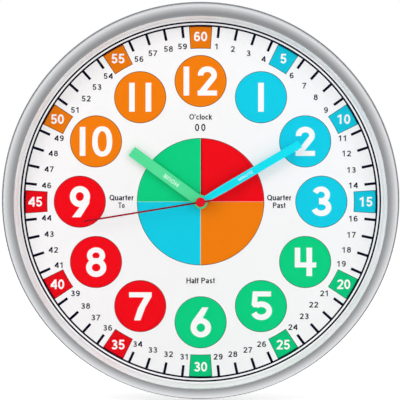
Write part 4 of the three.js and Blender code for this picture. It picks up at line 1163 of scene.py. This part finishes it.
def blade(name, eye, outline, hole, back, front, collar=None):
    """A hand stamped from sheet, with a round eye, soft edges, its hole and its collar."""
    whole = united(name, [flat(name, [outline], back, front), rod("eye", eye, back, front, 64)])
    whole = bevelled(whole, 0.28)
    if collar:
        radius, below, above = collar
        boss = bevelled(rod("collar", radius, back - below, front + above, 64), 0.12)
        whole = united(name, [whole, boss])
    return smoothed(cut(whole, rod("hole", hole, back - OVERRUN, front + OVERRUN)))


def word_on(name, words, height, width, middle, front):
    """A word that reads outwards along a hand, as a mesh that still points to 12."""
    type_size = Type(height, WORD_PEN, front)
    word = type_size.set(name, words, 0, 0, width)
    type_size.clear()
    word.data.transform(Matrix.Rotation(math.radians(-90), 4, "Y"))
    return moved(word, 0, middle)


def on_hand(piece, hand, material, *nodes):
    """A piece of a hand, turned to where the hand points."""
    bearing, slot = HANDS[hand]
    finished(turned_about(piece, bearing), material, slot, *nodes, body=f"{hand}_hand_set")


outline = strip(HOUR_WIDTH, 0, HOUR_LENGTH)
hand = blade("hour_blade", HOUR_EYE, outline, HOUR_HOLE, HOUR_BACK, HOUR_FRONT, (3.7, 0.3, 0.6))
on_hand(hand, "hour", green_paint, "hour_hand")
word = word_on("hour_word", "HOUR", 3.3, 13.4, 27.6, HOUR_FRONT)
on_hand(word, "hour", printed("pale_green_ink", (214, 252, 232)))

neck, side = MINUTE_NECK / 2, MINUTE_WIDTH / 2
outline = [(-neck, 0), (neck, 0), (side, MINUTE_NECK_END), (side, MINUTE_LENGTH)]
outline += [(-side, MINUTE_LENGTH), (-side, MINUTE_NECK_END)]
hand = blade("minute_blade", MINUTE_EYE, outline, MINUTE_HOLE, MINUTE_BACK, MINUTE_FRONT, (2.9, 0.3, 0.5))
on_hand(hand, "minute", cyan_paint, "minute_hand")
word = word_on("minute_word", "MINUTE", 2.3, 12.4, 39.3, MINUTE_FRONT)
on_hand(word, "minute", printed("pale_cyan_ink", (192, 250, 254)))

outline = strip(SECOND_WIDTH, -SECOND_TAIL, SECOND_LENGTH)
hand = blade("second_blade", SECOND_EYE, outline, SECOND_HOLE, SECOND_BACK, SECOND_FRONT)
on_hand(hand, "second", maroon_paint, "second_hand")


def hub_cap():
    """Round cap with a domed face and a socket for the arbor."""
    section = [(0, SOCKET_FRONT), (SOCKET, SOCKET_FRONT), (SOCKET, SECOND_FRONT)]
    section += [(CAP_RADIUS - 0.2, SECOND_FRONT), (CAP_RADIUS, SECOND_FRONT + 0.2)]
    section += arc(0, CAP_SHOULDER, CAP_RADIUS, CAP_FRONT - CAP_SHOULDER, 0, 90, 12)
    return turned("hub_cap", section, 64)


finished(hub_cap(), red_paint, "second_red", "second_hand_cap", body="second_hand_set")


# Movement

PACKED_FINISHES = {
    "circuit_board": board_green,
    "chip_blob": resin_black,
    "quartz_crystal": zinc,
    "stator": steel_sheet,
    "coil_core": steel_sheet,
    "coil_bobbin": black_plastic,
    "coil_winding": copper_wire,
    "rotor_magnet": magnet_grey,
    "second_arbor": steel_turned,
    "minute_arbor": brass_plain,
    "second_hand_pipe": brass_plain,
}


def laid_across(obj):
    """Lays a piece that was turned towards the front along the battery bay, its front to the right."""
    obj.data.transform(Matrix.Rotation(math.radians(90), 4, "Z"))
    obj.data.transform(Matrix.Translation(at(0, CELL_HEIGHT, CELL_DEPTH)))
    return obj


def cell_can():
    """Battery in its film, which curls over both ends."""
    left, right, radius = CELL_LEFT, CELL_RIGHT, CELL_RADIUS
    section = [(0, left + 0.3), (5.7, left + 0.3), (5.9, left), (6.7, left), (7.1, left + 0.15)]
    section += [(radius, left + 0.5), (radius, right - 0.6), (7.05, right - 0.2), (6.6, right)]
    section += [(5.6, right), (5.4, right - 0.3), (0, right - 0.3)]
    return laid_across(turned("cell_can", section, 64))


def cell_ends():
    """Steel bottom with a shallow dish, and steel top with the nub."""
    left, right, nub = CELL_LEFT, CELL_RIGHT, CELL_NUB
    bottom = [(0, left + 0.15), (3.2, left + 0.15), (3.6, left), (5.4, left), (5.6, left + 0.2)]
    bottom = turned("bottom", bottom + [(5.6, left + 0.5), (0, left + 0.5)], 64)
    top = [(0, right - 0.5), (5.3, right - 0.5), (5.3, right - 0.1), (5.1, right), (2.75, right)]
    top += [(2.75, nub - 0.3), (2.45, nub), (0, nub)]
    return joined("cell_ends", [laid_across(bottom), laid_across(turned("top", top, 64))])


finished(cell_can(), cell_sleeve, "cell_sleeve", "battery", body="battery_cell")
finished(cell_ends(), steel_turned, "cell_sleeve", body="battery_cell")
for number, name in enumerate(("battery_contact_positive", "battery_contact_negative"), 1):
    finished(from_node(name, f"cell_spring_{number}", 0.05), zinc, "zinc_steel", name)
for name in ("movement_front_housing", "movement_rear_cover"):
    soft = from_node(name, name.replace("movement", "works"), 0.2)
    finished(soft, black_plastic, "black_plastic", name)
knob = from_node("setting_knob", "setting_wheel", 0.08)
finished(knob, black_plastic, "black_plastic", "setting_knob", body="setting")

# The wheels and the bridge, which the list of finishes leaves out, are of natural plastic
for name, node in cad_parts.items():
    node.data.materials.clear()
    node.data.materials.append(PACKED_FINISHES.get(name, natural_plastic))
